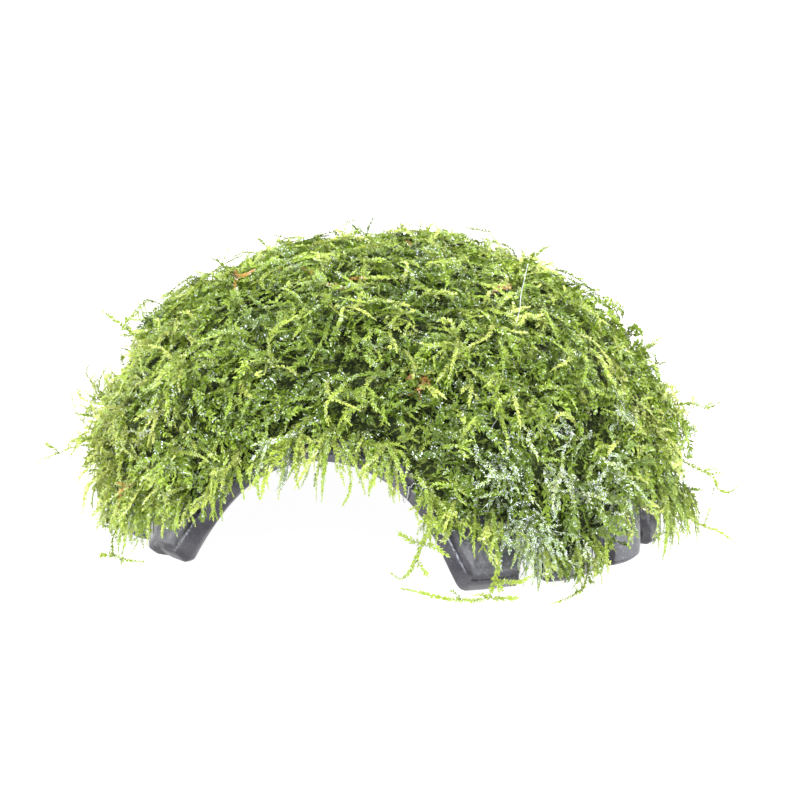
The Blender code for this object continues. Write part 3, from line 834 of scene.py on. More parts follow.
def kites(base, direction, normal, size, tone, share):
    """Leaves: base, right, tip and left corners, folded up along the middle, and their map."""
    across = np.cross(direction, normal)
    size = size[:, None]
    middle = base + direction * WIDEST_AT * size + normal * FOLD_RISE * size
    aside = across * 0.5 * LEAF_WIDTH / LEAF_LENGTH * size
    tip = base + direction * size + normal * TIP_RISE * size
    points = np.stack([base, middle + aside, tip, middle - aside], axis=1).reshape(-1, 3)
    first = 4 * np.arange(len(base))[:, None]
    faces = np.concatenate([first + (0, 1, 2), first + (0, 2, 3)])
    u = tone[:, None] + np.array([0.0, HALF_TONE, 0.0, -HALF_TONE])
    v = OLDEST + AGES * share[:, None] + KITE_AGES
    return points, [faces], np.stack([u, v], axis=2).reshape(-1, 2)


def stems(paths, side, face, tone, thick):
    """Three-sided tapering stems, closed at both ends."""
    count, knots = paths.shape[:2]
    share = np.linspace(0.0, 1.0, knots)
    radius = (thick[:, None] * (1.0 - STEM_TAPER * share))[:, :, None, None]
    ring = leaning(side[:, :, None], face[:, :, None], np.radians([90.0, 210.0, 330.0]))
    points = paths[:, :, None] + radius * ring
    at = 3 * (np.arange(count)[:, None, None] * knots + np.arange(knots - 1)[None, :, None])
    c = np.arange(3)
    after = (c + 1) % 3
    quads = np.stack([at + c, at + 3 + c, at + 3 + after, at + after], axis=-1).reshape(-1, 4)
    end = 3 * knots * np.arange(count)[:, None]
    caps = np.concatenate([end + (0, 1, 2), end + 3 * knots - 3 + (2, 1, 0)])
    u = tone[:, None, None] + HALF_TONE * np.array([-1.0, 0.0, 1.0])
    maps = np.stack(np.broadcast_arrays(u, OLDEST + AGES * share[None, :, None]), axis=-1)
    return points.reshape(-1, 3), [quads, caps], maps.reshape(-1, 2)


print("a leaf is", LEAF_LENGTH, "mm long, a stem", 2 * STEM_RADIUS, "mm thick")

# %% [markdown]
# ## From leaves to shoots
# A shoot could be a leaf pattern that is copied along a curve, but then all shoots would look alike. Here
# every leaf gets a place, an angle and a size of its own. Side branches are shoots too. They leave their
# parent at a wide angle and bend towards its heading, as real ones do.

# %% Leafy shoots
LEAF_ANGLE, LEAF_NARROWING = 54.0, 24.0
ROW_JITTER, ANGLE_JITTER, TWIST_JITTER = 12.0, 9.0, 0.3
LEAF_SIZES, TIP_LEAF = (0.75, 1.2), 0.8
# Each row of leaves has its angle round the stem and the distance from leaf to leaf.
LEAF_ROWS = ((0.0, 0.5), (180.0, 0.5), (42.0, 0.72), (138.0, 0.72))
RUST_FROM = 0.93


def lengths(paths):
    return np.linalg.norm(np.diff(paths, axis=1), axis=2).sum(axis=1)


def leafy_shoots(paths, facing, roll, tone, thick, draw, coarse=1.0):
    """Stems with their four rows of leaves and a last leaf at each tip, as blocks to be merged. Coarse
    shoots have larger leaves that stand further apart."""
    tangent, side, face = path_frames(paths, facing, roll)
    length, blocks = lengths(paths), [stems(paths, side, face, tone, thick)]
    for turn, pitch in LEAF_ROWS:
        count = np.maximum((length / pitch / coarse).astype(int), 2)
        shoot = np.repeat(np.arange(len(paths)), count)
        number = np.arange(len(shoot)) - np.repeat(np.cumsum(count) - count, count)
        share = (number + draw.uniform(0.15, 0.85, len(shoot))) / count[shoot]
        t, o, f = (read_along(field, shoot, share) for field in (tangent, side, face))
        phi = np.radians(turn + draw.normal(0.0, ROW_JITTER, len(shoot)))
        jitter = draw.normal(0.0, ANGLE_JITTER, len(shoot))
        lean = np.radians(LEAF_ANGLE - LEAF_NARROWING * share + jitter)
        direction = unit(leaning(t, leaning(o, f, phi), lean))
        normal = f + TWIST_JITTER * draw.normal(size=f.shape)
        normal = unit(normal - direction * (normal * direction).sum(axis=1, keepdims=True))
        size = LEAF_LENGTH * coarse * draw.uniform(*LEAF_SIZES, len(shoot))
        size = size * (0.7 + 0.3 * smooth_step(0.0, 0.2, share)) * (1.0 - 0.4 * smooth_step(0.75, 1.0, share))
        blocks.append(kites(read_along(paths, shoot, share), direction, normal, size, tone[shoot], share))
    heading, last = tangent[:, -1], np.full(len(paths), 0.99)
    size = np.full(len(paths), TIP_LEAF * LEAF_LENGTH)
    blocks.append(kites(paths[:, -1] - heading * 0.1, heading, face[:, -1], size, tone, last))
    return blocks


def merge(blocks):
    """One array of points, one list of faces with 3 and 4 corners, and one map, from many blocks."""
    points, face_lists, maps = zip(*blocks)
    starts = np.cumsum([0] + [len(block) for block in points])
    found = [face + start for faces, start in zip(face_lists, starts) for face in faces]
    faces = [np.concatenate([face for face in found if face.shape[1] == corners]) for corners in (3, 4)]
    return np.concatenate(points), faces, np.concatenate(maps)


def trace(roots, heading, length):
    """Paths from roots: a running sum of equal steps along the headings."""
    steps = heading * (length / heading.shape[1])[:, None, None]
    return np.concatenate([roots[:, None], roots[:, None] + np.cumsum(steps, axis=1)], axis=1)


def side_branches(paths, facing, roll, tone, draw, most=2, segments=4):
    """Short shoots that leave their parent to the side and then bend towards its heading. They are a little
    fresher than a green parent, and a rusty parent's branches are as rusty as it is."""
    tangent, side, face = path_frames(paths, facing, roll)
    count = draw.integers(0, most + 1, len(paths))
    shoot = np.repeat(np.arange(len(paths)), count)
    share = draw.uniform(0.15, 0.8, len(shoot))
    t, o, f = (read_along(field, shoot, share) for field in (tangent, side, face))
    reach = lengths(paths)[shoot] * draw.uniform(0.25, 0.48, len(shoot)) * (1.15 - 0.6 * share)
    hand = draw.choice([-1.0, 1.0], len(shoot))[:, None, None]
    angle = np.radians(draw.uniform(48, 72, len(shoot))[:, None] * np.linspace(1.0, 0.45, segments))
    tilt = draw.normal(0.1, 0.25, len(shoot))[:, None, None]
    heading = unit(leaning(t[:, None], o[:, None] * hand, angle) + f[:, None] * tilt)
    found = trace(read_along(paths, shoot, share), heading, reach)
    fresher = np.clip(tone[shoot] + draw.normal(0.04, 0.05, len(shoot)), 0.03, 0.9)
    fresher = np.where(tone[shoot] > RUST_FROM, tone[shoot], fresher)
    return found, f[:, None], draw.normal(0.0, 0.5, len(shoot)), fresher, shoot


print("leaf rows round the stem:", [turn for turn, pitch in LEAF_ROWS])

# %% [markdown]
# ## The moss finishes
# The colour of a leaf depends only on its place on the map. A ramp over u goes from deep old green, which
# shoots in shade also take as painted shade, to fresh yellow-green, with a last band of rust brown for the
# few dying shoots. A ramp over v makes the base dark and the tip pale. A noise over the map scatters wet,
# glossy leaves among drier ones, and a finer one paints tiny bright specks into their colour: painted
# highlights of wet leaves, many in the soaked patches and few elsewhere.

# %% Moss palette group
TONES = (
    (0.0, (0.03, 0.06, 0.006)), (0.25, (0.115, 0.19, 0.014)), (0.5, (0.26, 0.38, 0.035)),
    (0.75, (0.37, 0.47, 0.07)), (0.92, (0.46, 0.52, 0.11)), (0.94, (0.36, 0.19, 0.04)),
    (1.0, (0.55, 0.28, 0.06)),
)
AGE_SHADES = ((0.0, (0.3,) * 3), (0.3, (0.72,) * 3), (0.7, (1.0,) * 3), (1.0, (1.0,) * 3))
WET_GRAIN, PAINTED_SPARKLE_GRAIN = (240.0, 36.0, 1.0), (290.0, 24.0, 1.0)
WET_EDGES = (0.42, 0.6)
# The colour of the painted highlights: bright specks on wet leaves.
PAINTED_SPARKLE_COLOUR = (0.84, 0.89, 1.0, 1)
PAINTED_SPARKLE_EDGE = 0.03


def ramp(tree, value, stops):
    """A colour ramp with the given (position, colour) stops."""
    node = add_node(tree, "ValToRGB", {"Fac": value})
    elements = node.color_ramp.elements
    while len(elements) < len(stops):
        elements.new(0.5)
    for element, (position, colour) in zip(elements, stops):
        element.position = position
        element.color = (*colour, 1.0)
    return node.outputs["Color"]


def multiply(tree, first, second):
    """Two colours or vectors, multiplied number by number."""
    node = add_node(tree, "VectorMath", {0: first, 1: second}, operation="MULTIPLY")
    return node.outputs["Vector"]


def make_palette():
    """Colour from the tone u and the age v, and a wetness that changes from leaf to leaf."""
    inputs = {"Tint": COLOUR, "Wet": NUMBER, "Drained": NUMBER, "Bead From": NUMBER, "Bead To": NUMBER}
    outputs = {"Color": COLOUR, "Roughness": NUMBER, "Coat": NUMBER, "Height": NUMBER}
    group, given, out = new_group("moss_palette", inputs, outputs)
    place = add_node(group, "UVMap", uv_map="OFBake").outputs["UV"]
    parts = add_node(group, "SeparateXYZ", {"Vector": place}).outputs
    tinted = multiply(group, ramp(group, parts["X"], TONES), given["Tint"])
    aged = multiply(group, tinted, ramp(group, parts["Y"], AGE_SHADES))
    wet = add_noise(group, multiply(group, place, WET_GRAIN), 1.0, 2.0)
    # Painted highlights: where the fine noise is high, bright specks go into the colour.
    painted_sparkle_noise = add_noise(group, multiply(group, place, PAINTED_SPARKLE_GRAIN), 1.0, 1.0)
    painted_sparkle = map_range(group, painted_sparkle_noise, (given["Bead From"], given["Bead To"]))
    feed(group, out, {
        "Color": mix_colours(group, painted_sparkle, aged, PAINTED_SPARKLE_COLOUR),
        "Roughness": map_range(group, wet, WET_EDGES, (given["Wet"], given["Drained"])),
        "Coat": map_range(group, wet, WET_EDGES, (0.7, 0.0)),
        "Height": wet,
    })
    return group


def moss_finish(name, tint, wet, drained, relief, painted_sparkle_from):
    """A moss material. The lower the threshold for its painted highlights is, the more bright specks it has.
    """
    values = {"Coat_Roughness": 0.06, "IOR": 1.4, "Specular_IOR_Level": 0.35}
    material, tree, shader = new_material(name, **values)
    values = {"Tint": (*tint, 1), "Wet": wet, "Drained": drained}
    values.update({"Bead From": painted_sparkle_from, "Bead To": painted_sparkle_from + PAINTED_SPARKLE_EDGE})
    palette = add_node(tree, "Group", values, node_tree=PALETTE).outputs
    places = {"Base Color": "Color", "Roughness": "Roughness", "Coat Weight": "Coat"}
    feed(tree, shader, {place: palette[label] for place, label in places.items()})
    add_bump(tree, shader, palette["Height"], relief)
    return material


PALETTE = make_palette()
moss_green = moss_finish("java_moss", (1.0, 1.0, 1.0), 0.18, 0.5, relief=0.12, painted_sparkle_from=0.655)
soaked_green = moss_finish("soaked_moss", (0.92, 0.97, 1.1), 0.1, 0.25, relief=0.3, painted_sparkle_from=0.55)
young_green = moss_finish("young_moss", (1.08, 1.02, 0.95), 0.22, 0.5, relief=0.1, painted_sparkle_from=0.68)
print("moss finishes:", moss_green.name, soaked_green.name, young_green.name)

# %% [markdown]
# ## The mat of shoots
# Shoots are rooted on the imported solid of the mat, tufts included, spread by area, and then sunk into it by
# one to five millimetres. Each leaves its root partly upright and bends over along the surface: heading =
# cos(lift) s + sin(lift) n, with the lift falling along the shoot and s swinging slowly to the sides.
# Neighbours share a mean direction that changes every centimetre or so, which gives the clumps and partings
# of real moss. A shoot that would hang too far below the hem is drawn shorter. An under-storey of coarse,
# dark shoots fills the gaps.
#
# What the photo shows at a certain place is listed: tufts that hang over the hem, small tufts that
# stand out of the mat, rusty and fresh spots, dark hollows, and soaked patches. Everything between them is
# left to chance, with a fixed start for the random numbers, so that the result is the same each time.

# %% Places in the mat
# Tufts that hang over the hem: azimuth, lowest height, shoots, spread in degrees.
TUFTS = (
    (-41, 2, 14, 1.6), (-36, 6, 8, 1.5), (-11, 19.5, 9, 1.0), (-5.3, 20.5, 12, 1.2), (1.7, 19, 12, 1.2),
    (8, 26, 8, 2.0), (13.5, 21.5, 14, 1.0), (23, 13, 16, 1.6), (30, 11, 12, 2.5), (37, 6, 16, 2.5),
    (44, 3.5, 20, 2.0), (41.6, 2, 14, 0.8), (54, 1.5, 20, 3.0), (64, 9, 5, 2.0), (69, 1.5, 2, 0.3),
    (80, 1, 14, 1.5), (93, 1, 12, 2.0), (99, 1, 18, 2.2), (-29, 11, 12, 1.6), (-33, 8, 10, 1.6),
    (-17.5, 16, 9, 0.9), (-20.5, 12, 9, 0.9), (-56, 2, 14, 3.0), (-75, 3, 12, 4.0), (-100, 3, 10, 4.0),
    (130, 2, 12, 5.0), (165, 4, 12, 5.0), (-160, 2, 12, 5.0), (-125, 3, 12, 4.0),
)
# Tufts that stand out of the mat: azimuth, height, shoots.
CRESTS = (
    (-97, 54, 8), (-85, 47, 8), (117, 50, 7), (-133, 57.5, 8), (-78, 36, 9), (-76, 29, 8), (-72, 20, 9),
    (-70, 13, 7), (104, 27, 7), (109, 38, 5), (150, 57.5, 5), (-150, 40, 7), (178, 30, 7), (-145, 58.2, 6),
    (168, 58.4, 6), (127, 54, 6), (-90, 51, 6), (-81, 41, 6), (-109, 56.5, 6),
)
# Spots of all four kinds: azimuth, distance from the axis, height, size.
RUSTY = ((21, 53, 44, 4), (-46, 68, 14, 4), (28, 50, 46, 2))
HOLLOWS = (
    (-32, 40, 55, 5), (5, 52, 46, 5), (-5, 53, 46, 5), (36, 52, 46, 4), (29, 60, 36, 6), (36, 68, 19, 5),
    (44, 70, 8, 5), (-13, 63, 31, 5), (66, 66, 25, 4), (61, 46, 51, 4), (64, 53, 46, 4), (29, 27, 61, 4),
    (85, 23, 62, 4), (16, 59, 38, 6), (-23, 68, 20, 4),
)
FRESH = (
    (-42, 66, 25, 14), (88, 63, 32, 8), (51, 69, 12, 7), (23, 50, 48, 6), (-6, 15, 64, 6), (51, 66, 25, 5),
    (50, 40, 55, 5), (-45, 59, 39, 10),
)
WET_PATCHES = (
    (44, 70, 20, 9), (50, 70, 24, 12), (36, 68, 30, 9), (-10, 70, 38, 9), (-4, 70, 36, 8), (8, 70, 37, 7),
    (-42, 72, 30, 8), (25, 66, 46, 8), (62, 66, 40, 9), (-25, 68, 44, 8),
)
print("placed by hand:", len(TUFTS), "hanging tufts,", len(CRESTS), "standing tufts")

# %% [markdown]
# ## What a place does to its shoots
# A spot acts on the shoots near it through a bell curve, so that nothing starts or ends abruptly. Hollows
# thin the shoots out and darken them with painted shade, and fresh spots make them paler. Other bells lower
# or raise the mat where the photo's outline does. Sines of slanted directions add what has no place of its
# own: gaps, clumps and wide patches of tone. Low on the left side and along the right one the moss is
# painted paler, as painted light.

# %% Fields over the mat
GREENEST, FRESHEST = 0.06, 0.9
RUSTY_TONES = (0.95, 0.985)
# Where the mat lies lower and where it stands higher. A row holds millimetres, then the azimuth and its
# width, then the height and its width.
SLACK = ((5.0, 103.0, 32.0, 47.0, 13.0), (4.0, 100.0, 20.0, 15.0, 10.0), (1.8, -80.0, 30.0, 42.0, 14.0))
RAISED = ((3.4, -72.0, 32.0, 21.0, 13.0),)


def nearness(points, spots):
    """A bell round each spot, added up: 1 in the middle of a spot."""
    azimuth, radius, z, size = np.array(spots, float).T
    gap = np.linalg.norm(points[:, None] - on_circle(azimuth, radius, z), axis=2)
    return bell((gap, 0.0, size)).sum(axis=1)


def gappiness(points):
    """Close to 1 in the dark hollows of the mat, and low between them: the hollows that the photo shows, and
    a product of slanted sines."""
    x, y, z = points.T
    waves = np.sin(x / 3.7 + z / 5.9 + 0.6) * np.sin(y / 4.3 - z / 4.9) * np.sin(z / 4.1 + x / 8.3 + 2.0)
    return np.clip(0.4 * smooth_step(0.2, 0.45, waves) + nearness(points, HOLLOWS), 0.0, 1.0)


def bells(points, table):
    """The bells of a table, over azimuth and height, added up."""
    azimuth, z = azimuth_of(points), points[:, 2]
    return sum(size * bell((azimuth, *bump[:2]), (z, *bump[2:])) for size, *bump in table)


def clump_height(points):
    """Neighbouring shoots rise or sink together, by up to two or three millimetres."""
    x, y, z = points.T
    clump = np.sin(x / 2.9 + 1.1 * np.sin(z / 5.0)) * np.sin(y / 3.3 + z / 4.1 + 0.7)
    return 3.0 * np.maximum(clump, 0.0) ** 1.5 - 0.7 + bells(points, RAISED)


def side_painted_light(points):
    """Painted light: how much paler the moss is made low on the left side and along the right one."""
    azimuth, z = azimuth_of(points), points[:, 2]
    left = 0.14 * bell((azimuth, -62.0, 34.0)) * (2.0 - smooth_step(22.0, 42.0, z))
    return left + 0.22 * bell((azimuth, 104.0, 34.0))


def shoot_tones(middles, sunk, draw):
    """The tone of each shoot, by the place of its middle. Deep shoots and those in hollows are darker, as
    painted shade, some wide patches are fresh, and a few shoots are rusty."""
    x, y, z = middles.T
    patch = np.sin(x / 17.0 + 0.8 * np.sin(z / 13.0) + 0.4) * np.sin(y / 19.0 - z / 15.0 + 1.1)
    # Painted light makes the sides paler, and painted shade makes deeper-sunk shoots darker.
    tone = 0.65 + 0.12 * patch + side_painted_light(middles) - 0.07 * (sunk - 2.0)
    tone = tone + draw.normal(0.0, 0.15, len(middles))
    # Painted shade: shoots in hollows are darker.
    tone = tone + 0.1 * nearness(middles, FRESH) - 0.26 * np.minimum(nearness(middles, HOLLOWS), 1.0)
    tone = np.clip(tone, GREENEST, FRESHEST)
    chance = 0.004 + 0.35 * nearness(middles, RUSTY)
    return np.where(draw.random(len(middles)) < chance, draw.uniform(*RUSTY_TONES, len(middles)), tone)


print("side tone at the left foot:", round(float(side_painted_light(np.array([[-60.0, -20.0, 5.0]]))[0]), 2))

# %% [markdown]
# ## Roots and limits
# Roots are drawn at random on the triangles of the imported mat, so the shoots stay true to the solid. Their
# paths are then bent to what surrounds them: pressed down under a ceiling, shortened over the hem, and kept
# off the dome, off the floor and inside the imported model's box.

# %% Roots and limits
FLOOR = 0.4
LOWEST, HIGHEST = (np.array(corner) / MM for corner in cad_box)


def packed_points(node):
    """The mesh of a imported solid, and its points in millimetres."""
    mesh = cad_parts[node].data
    points = np.empty(3 * len(mesh.vertices), np.float32)
    mesh.vertices.foreach_get("co", points)
    return mesh, points.reshape(-1, 3).astype(float) / MM


def mat_triangles():
    """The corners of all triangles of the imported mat."""
    mesh, points = packed_points("moss_mat")
    mesh.calc_loop_triangles()
    corners = np.empty(3 * len(mesh.loop_triangles), np.int32)
    mesh.loop_triangles.foreach_get("vertices", corners)
    return points[corners.reshape(-1, 3)]


def roots_on_mat(count, draw, strength):
    """Points spread by area over the mat's outer faces, and thinned out in its hollows."""
    triangles = mat_triangles()
    normal = np.cross(triangles[:, 1] - triangles[:, 0], triangles[:, 2] - triangles[:, 0])
    middle = triangles.mean(axis=1)
    outside = (unit(normal) * off_dome(middle)).sum(axis=1) > 0.1
    high = height_off_skin(middle) > 2.5
    area = np.linalg.norm(normal, axis=1) * outside * high
    chosen = draw.choice(len(triangles), 2 * count, p=area / area.sum())
    a, b = np.sort(draw.random((2, 2 * count)), axis=0)
    shares = np.stack([a, b - a, 1 - b])[..., None]
    roots = sum(share * corner for share, corner in zip(shares, triangles[chosen].swapaxes(0, 1)))
    kept = draw.random(2 * count) > gappiness(roots) * strength
    return roots[kept][:count]


def keep_clear(paths, give):
    """Paths pushed off the dome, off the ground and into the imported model's box, with a little give."""
    measure = np.maximum(dome_measure(paths), 1e-3)[..., None]
    paths = paths * np.maximum(1.0, (1.0 + 1.0 / SKIN_RADIUS) / measure)
    paths[..., 2] = np.maximum(paths[..., 2], FLOOR)
    return np.clip(paths, LOWEST - give, HIGHEST + give)


def press_down(paths, ceiling):
    """Paths that rise over their ceiling, a height over the dome's skin, are pressed down to it."""
    excess = np.maximum(height_off_skin(paths) - ceiling[:, None], 0.0)
    return paths - off_dome(paths) * excess[..., None]


def shorten_over_hem(paths, draw):
    """Shoots that hang lower than the hem allows are scaled about their roots. A few millimetres more stay
    free over the third lobe on the right."""
    root = paths[:, :1]
    azimuth = azimuth_of(paths)
    allowed = hem_height(azimuth) - draw.uniform(0.5, 4.5, len(paths))[:, None]
    allowed = (allowed + 5.0 * bell((azimuth, 67.0, 9.0))).max(axis=1)
    lowest = paths[..., 2].min(axis=1)
    drop = np.maximum(root[:, 0, 2] - lowest, 1e-6)
    scale = np.clip((root[:, 0, 2] - allowed) / drop, 0.35, 1.0)
    return root + (paths - root) * scale[:, None, None]


print("the packed mat has", len(mat_triangles()), "triangles to root in")

# %% [markdown]
# ## How the shoots run
# One routine grows the paths of ordinary shoots, and two more those of the tufts. All give a heading to each
# step and add the steps up. The under-storey takes the first routine's paths, laid low and with half of
# their points, because its shoots are only seen in the gaps.

# %% Paths of the shoots
UNDER_SHOOTS = 2150
SEGMENTS = 6
ALONG = (np.arange(SEGMENTS) + 0.5) / SEGMENTS
DOWN = np.array([0.0, 0.0, -1.0])


def headings(normal, down, swing, lift):
    """Directions along the dome that swing from down to the side, and are lifted off it."""
    surface = leaning(down[:, None], np.cross(normal, down)[:, None], swing)
    return leaning(surface, normal[:, None], lift)


def grow(roots, draw):
    """Paths from roots: headings that start steep, bend over and swing. On the left side the shoots all
    point down and out, and on the crown they point anywhere."""
    count, normal = len(roots), off_dome(roots)
    down = unit(DOWN + normal * normal[:, 2:] + 1e-3)
    x, y, z = roots.T
    left_side = bell((azimuth_of(roots), -75.0, 40.0)) * (1 - smooth_step(42.0, 62.0, z))
    mean = 1.2 * np.sin(x / 9.0 + 1.3 * np.sin(z / 8.0)) + 0.9 * np.sin(y / 10.0 + z / 7.0 + 2.0)
    yaw = mean * (1.0 - 0.5 * left_side) - 0.8 * left_side + draw.normal(0.0, 0.85, count)
    yaw = yaw + 2.4 * draw.normal(size=count) * smooth_step(50.0, 60.0, z)
    length = draw.uniform(6.0, 12.5, count) + 4.0 * draw.random(count) ** 4
    length = length * (1.0 + 0.4 * left_side)
    first = np.radians(draw.uniform(25.0, 62.0, count) + 20.0 * left_side)[:, None]
    last = np.radians(draw.normal(-8.0, 22.0, count) + 34.0 * left_side)[:, None]
    strength, start = draw.normal(0.0, 0.8, (count, 1)), draw.uniform(0, 6, (count, 1))
    swing = yaw[:, None] + strength * np.sin(start + 4 * ALONG)
    heading = headings(normal, down, swing, first * (1 - ALONG) + last * ALONG)
    heading[..., 2] -= draw.uniform(0.0, 0.5, (count, 1)) * ALONG
    return trace(roots, unit(heading), length), normal


def per_shoot(tufts):
    """The columns of a table of tufts, each row repeated by its number of shoots, which is left out."""
    rows = np.array(tufts, float)
    return np.repeat(np.delete(rows, 2, axis=1).T, rows[:, 2].astype(int), axis=1)


def hanging_tufts(draw):
    """Paths of the tufts that hang below the hem: rooted in the mat and drawn down to a chosen height."""
    azimuth, lowest, spread = per_shoot(TUFTS)
    shoots = len(azimuth)
    azimuth = azimuth + draw.normal(0.0, 1.0, shoots) * spread
    roots = skin_point(azimuth, draw.uniform(0.93, 0.99, shoots))
    normal = off_dome(roots)
    roots = roots + normal * draw.uniform(2.0, 5.0, shoots)[:, None]
    down = unit(DOWN + normal * normal[:, 2:] * 0.4)
    length = (roots[:, 2] - lowest) * draw.uniform(0.45, 1.1, shoots) + 1.5
    first, last = draw.uniform(15.0, 45.0, (shoots, 1)), draw.normal(-4.0, 12.0, (shoots, 1))
    lift = np.radians(first * (1 - ALONG) + last * ALONG)
    swing = draw.normal(0.0, 0.3, (shoots, 1)) + draw.normal(0.0, 0.5, (shoots, 1)) * np.sin(4 * ALONG)
    return trace(roots, headings(normal, down, swing, lift), np.clip(length, 4.0, 20.0)), normal


def standing_tufts(draw):
    """Paths of the small tufts that stick out of the mat, each round a point of the skin at its height."""
    azimuth, z = per_shoot(CRESTS)
    roots = on_circle(azimuth, SKIN_RADIUS * superellipse(z / SKIN_TOP), z)
    normal = off_dome(roots)
    roots = roots + normal * 1.5 + draw.normal(0.0, 1.6, roots.shape)
    roots = roots - normal * np.maximum(height_off_skin(roots) - 4.0, 0.0)[:, None]
    t = ALONG[:, None]
    aside = draw.normal(0.0, 0.5, roots.shape)[:, None] * (0.5 + t)
    heading = unit(normal[:, None] + aside + 0.5 * DOWN * t)
    return trace(roots, heading, draw.uniform(6.0, 10.5, len(roots))), normal


def under_storey(draw):
    """Coarse shoots that lie low on the ground and fill the gaps between the others. Their dark tone is
    painted shade, and the painted light of the sides makes it paler there.
    """
    roots = roots_on_mat(UNDER_SHOOTS, draw, 0.0)
    height = height_off_skin(roots)
    roots = roots - off_dome(roots) * (height * draw.uniform(0.3, 0.6, UNDER_SHOOTS))[:, None]
    paths, normal = grow(roots, draw)
    paths = press_down(paths[:, ::2], height * draw.uniform(0.5, 0.85, UNDER_SHOOTS))
    paths = keep_clear(shorten_over_hem(paths, draw), give=0.5)
    # Dark tones as painted shade, made paler on the sides by the painted light.
    tone = draw.normal(0.26, 0.1, UNDER_SHOOTS) + 1.3 * side_painted_light(roots)
    return paths, normal, np.clip(tone, GREENEST, 0.7)


print("steps of a shoot lie at", np.round(ALONG, 2), "of its length")

# %% [markdown]
# ## Growing the mat
# All shoots are laid out first, and then given their branches and leaves in seven lots: six sectors round
# the dome, so that no mesh gets too large, and one for the soaked shoots, which have a finish of their own.

# %% Grow the mat
SHOOTS = 2440
SECTORS = 6
LEAF_FLOOR = 0.05
SOAKED_FROM = 0.4
UNDER_THICKNESS, UNDER_COARSE = 0.2, 1.9


def sector_of(paths):
    """The number of the sector round the dome in which each path has its root."""
    return ((azimuth_of(paths[:, 0]) + 180.0) * SECTORS / 360.0).astype(int) % SECTORS


def add_shoots(name, blocks, material):
    """A piece of leafy shoots that keeps above the ground."""
    points, faces, maps = merge(blocks)
    points[:, 2] = np.maximum(points[:, 2], LEAF_FLOOR)
    return add_piece(name, points, faces, material, maps)


def lay_out(draw):
    """The paths of all shoots above the under-storey, with their off-dome directions and tones."""
    roots = roots_on_mat(SHOOTS, draw, 0.6)
    sunk = draw.uniform(1.5, 5.5, SHOOTS)
    ceiling = height_off_skin(roots) + draw.uniform(-3.2, 0.2, SHOOTS) + 4.0 * draw.random(SHOOTS) ** 12
    ceiling = ceiling - bells(roots, SLACK) + clump_height(roots) - 1.3 * gappiness(roots)
    paths, normal = grow(roots - off_dome(roots) * sunk[:, None], draw)
    paths = shorten_over_hem(press_down(paths, ceiling), draw)
    tone = shoot_tones(paths[:, SEGMENTS // 2], sunk, draw)
    tufts, tuft_normal = hanging_tufts(draw)
    crests, crest_normal = standing_tufts(draw)
    fresh = np.clip(draw.normal(0.62, 0.12, len(tufts) + len(crests)), 0.1, FRESHEST)
    paths = keep_clear(np.concatenate([paths, tufts, crests]), give=1.2)
    return paths, np.concatenate([normal, tuft_normal, crest_normal]), np.concatenate([tone, fresh])


def grow_mat():
    """All shoots of the mat with their side branches, in sectors round the dome and one soaked piece."""
    draw = np.random.default_rng(7)
    paths, normal, tone = lay_out(draw)
    roll = draw.normal(0.0, 0.6, len(paths))
    low, low_normal, low_tone = under_storey(draw)
    soaked = nearness(paths[:, 0], WET_PATCHES) * draw.uniform(0.6, 1.4, len(paths)) > SOAKED_FROM
    sector, low_sector = np.where(soaked, SECTORS, sector_of(paths)), sector_of(low)
    made = []
    for number in range(SECTORS + 1):
        here, beneath = sector == number, low_sector == number
        stem, facing, twist, hue = paths[here], normal[here][:, None], roll[here], tone[here]
        side, side_facing, side_twist, side_hue, parent = side_branches(stem, facing, twist, hue, draw)
        side = keep_clear(side, give=1.4)
        thick = STEM_RADIUS * draw.uniform(0.8, 1.25, len(stem))
        blocks = leafy_shoots(stem, facing, twist, hue, thick, draw)
        blocks += leafy_shoots(side, side_facing, side_twist, side_hue, 0.7 * thick[parent], draw)
        if beneath.any():
            flat = draw.normal(0.0, 0.8, beneath.sum())
            blocks += leafy_shoots(low[beneath], low_normal[beneath][:, None], flat, low_tone[beneath],
                                   np.full(len(flat), UNDER_THICKNESS), draw, UNDER_COARSE)
        name = f"moss_shoots_{number + 1}" if number < SECTORS else "moss_shoots_soaked"
        piece = add_shoots(name, blocks, moss_green if number < SECTORS else soaked_green)
        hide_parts("moss_mat")
        made.append(piece)
    return made


mat_pieces = grow_mat()
counts = [sum(len(p.vertices) - 2 for p in piece.data.polygons) for piece in mat_pieces]
print("mat:", len(mat_pieces), "pieces,", counts, "triangles")

# %% [markdown]
# ## Stray shoots
# A dozen single shoots leave the mat and are seen against the background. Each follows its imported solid: a
# smooth curve through the same points, which starts inside the mat. The curve is a chain of cubic pieces
# whose slope at each point is half of the step between its neighbours.

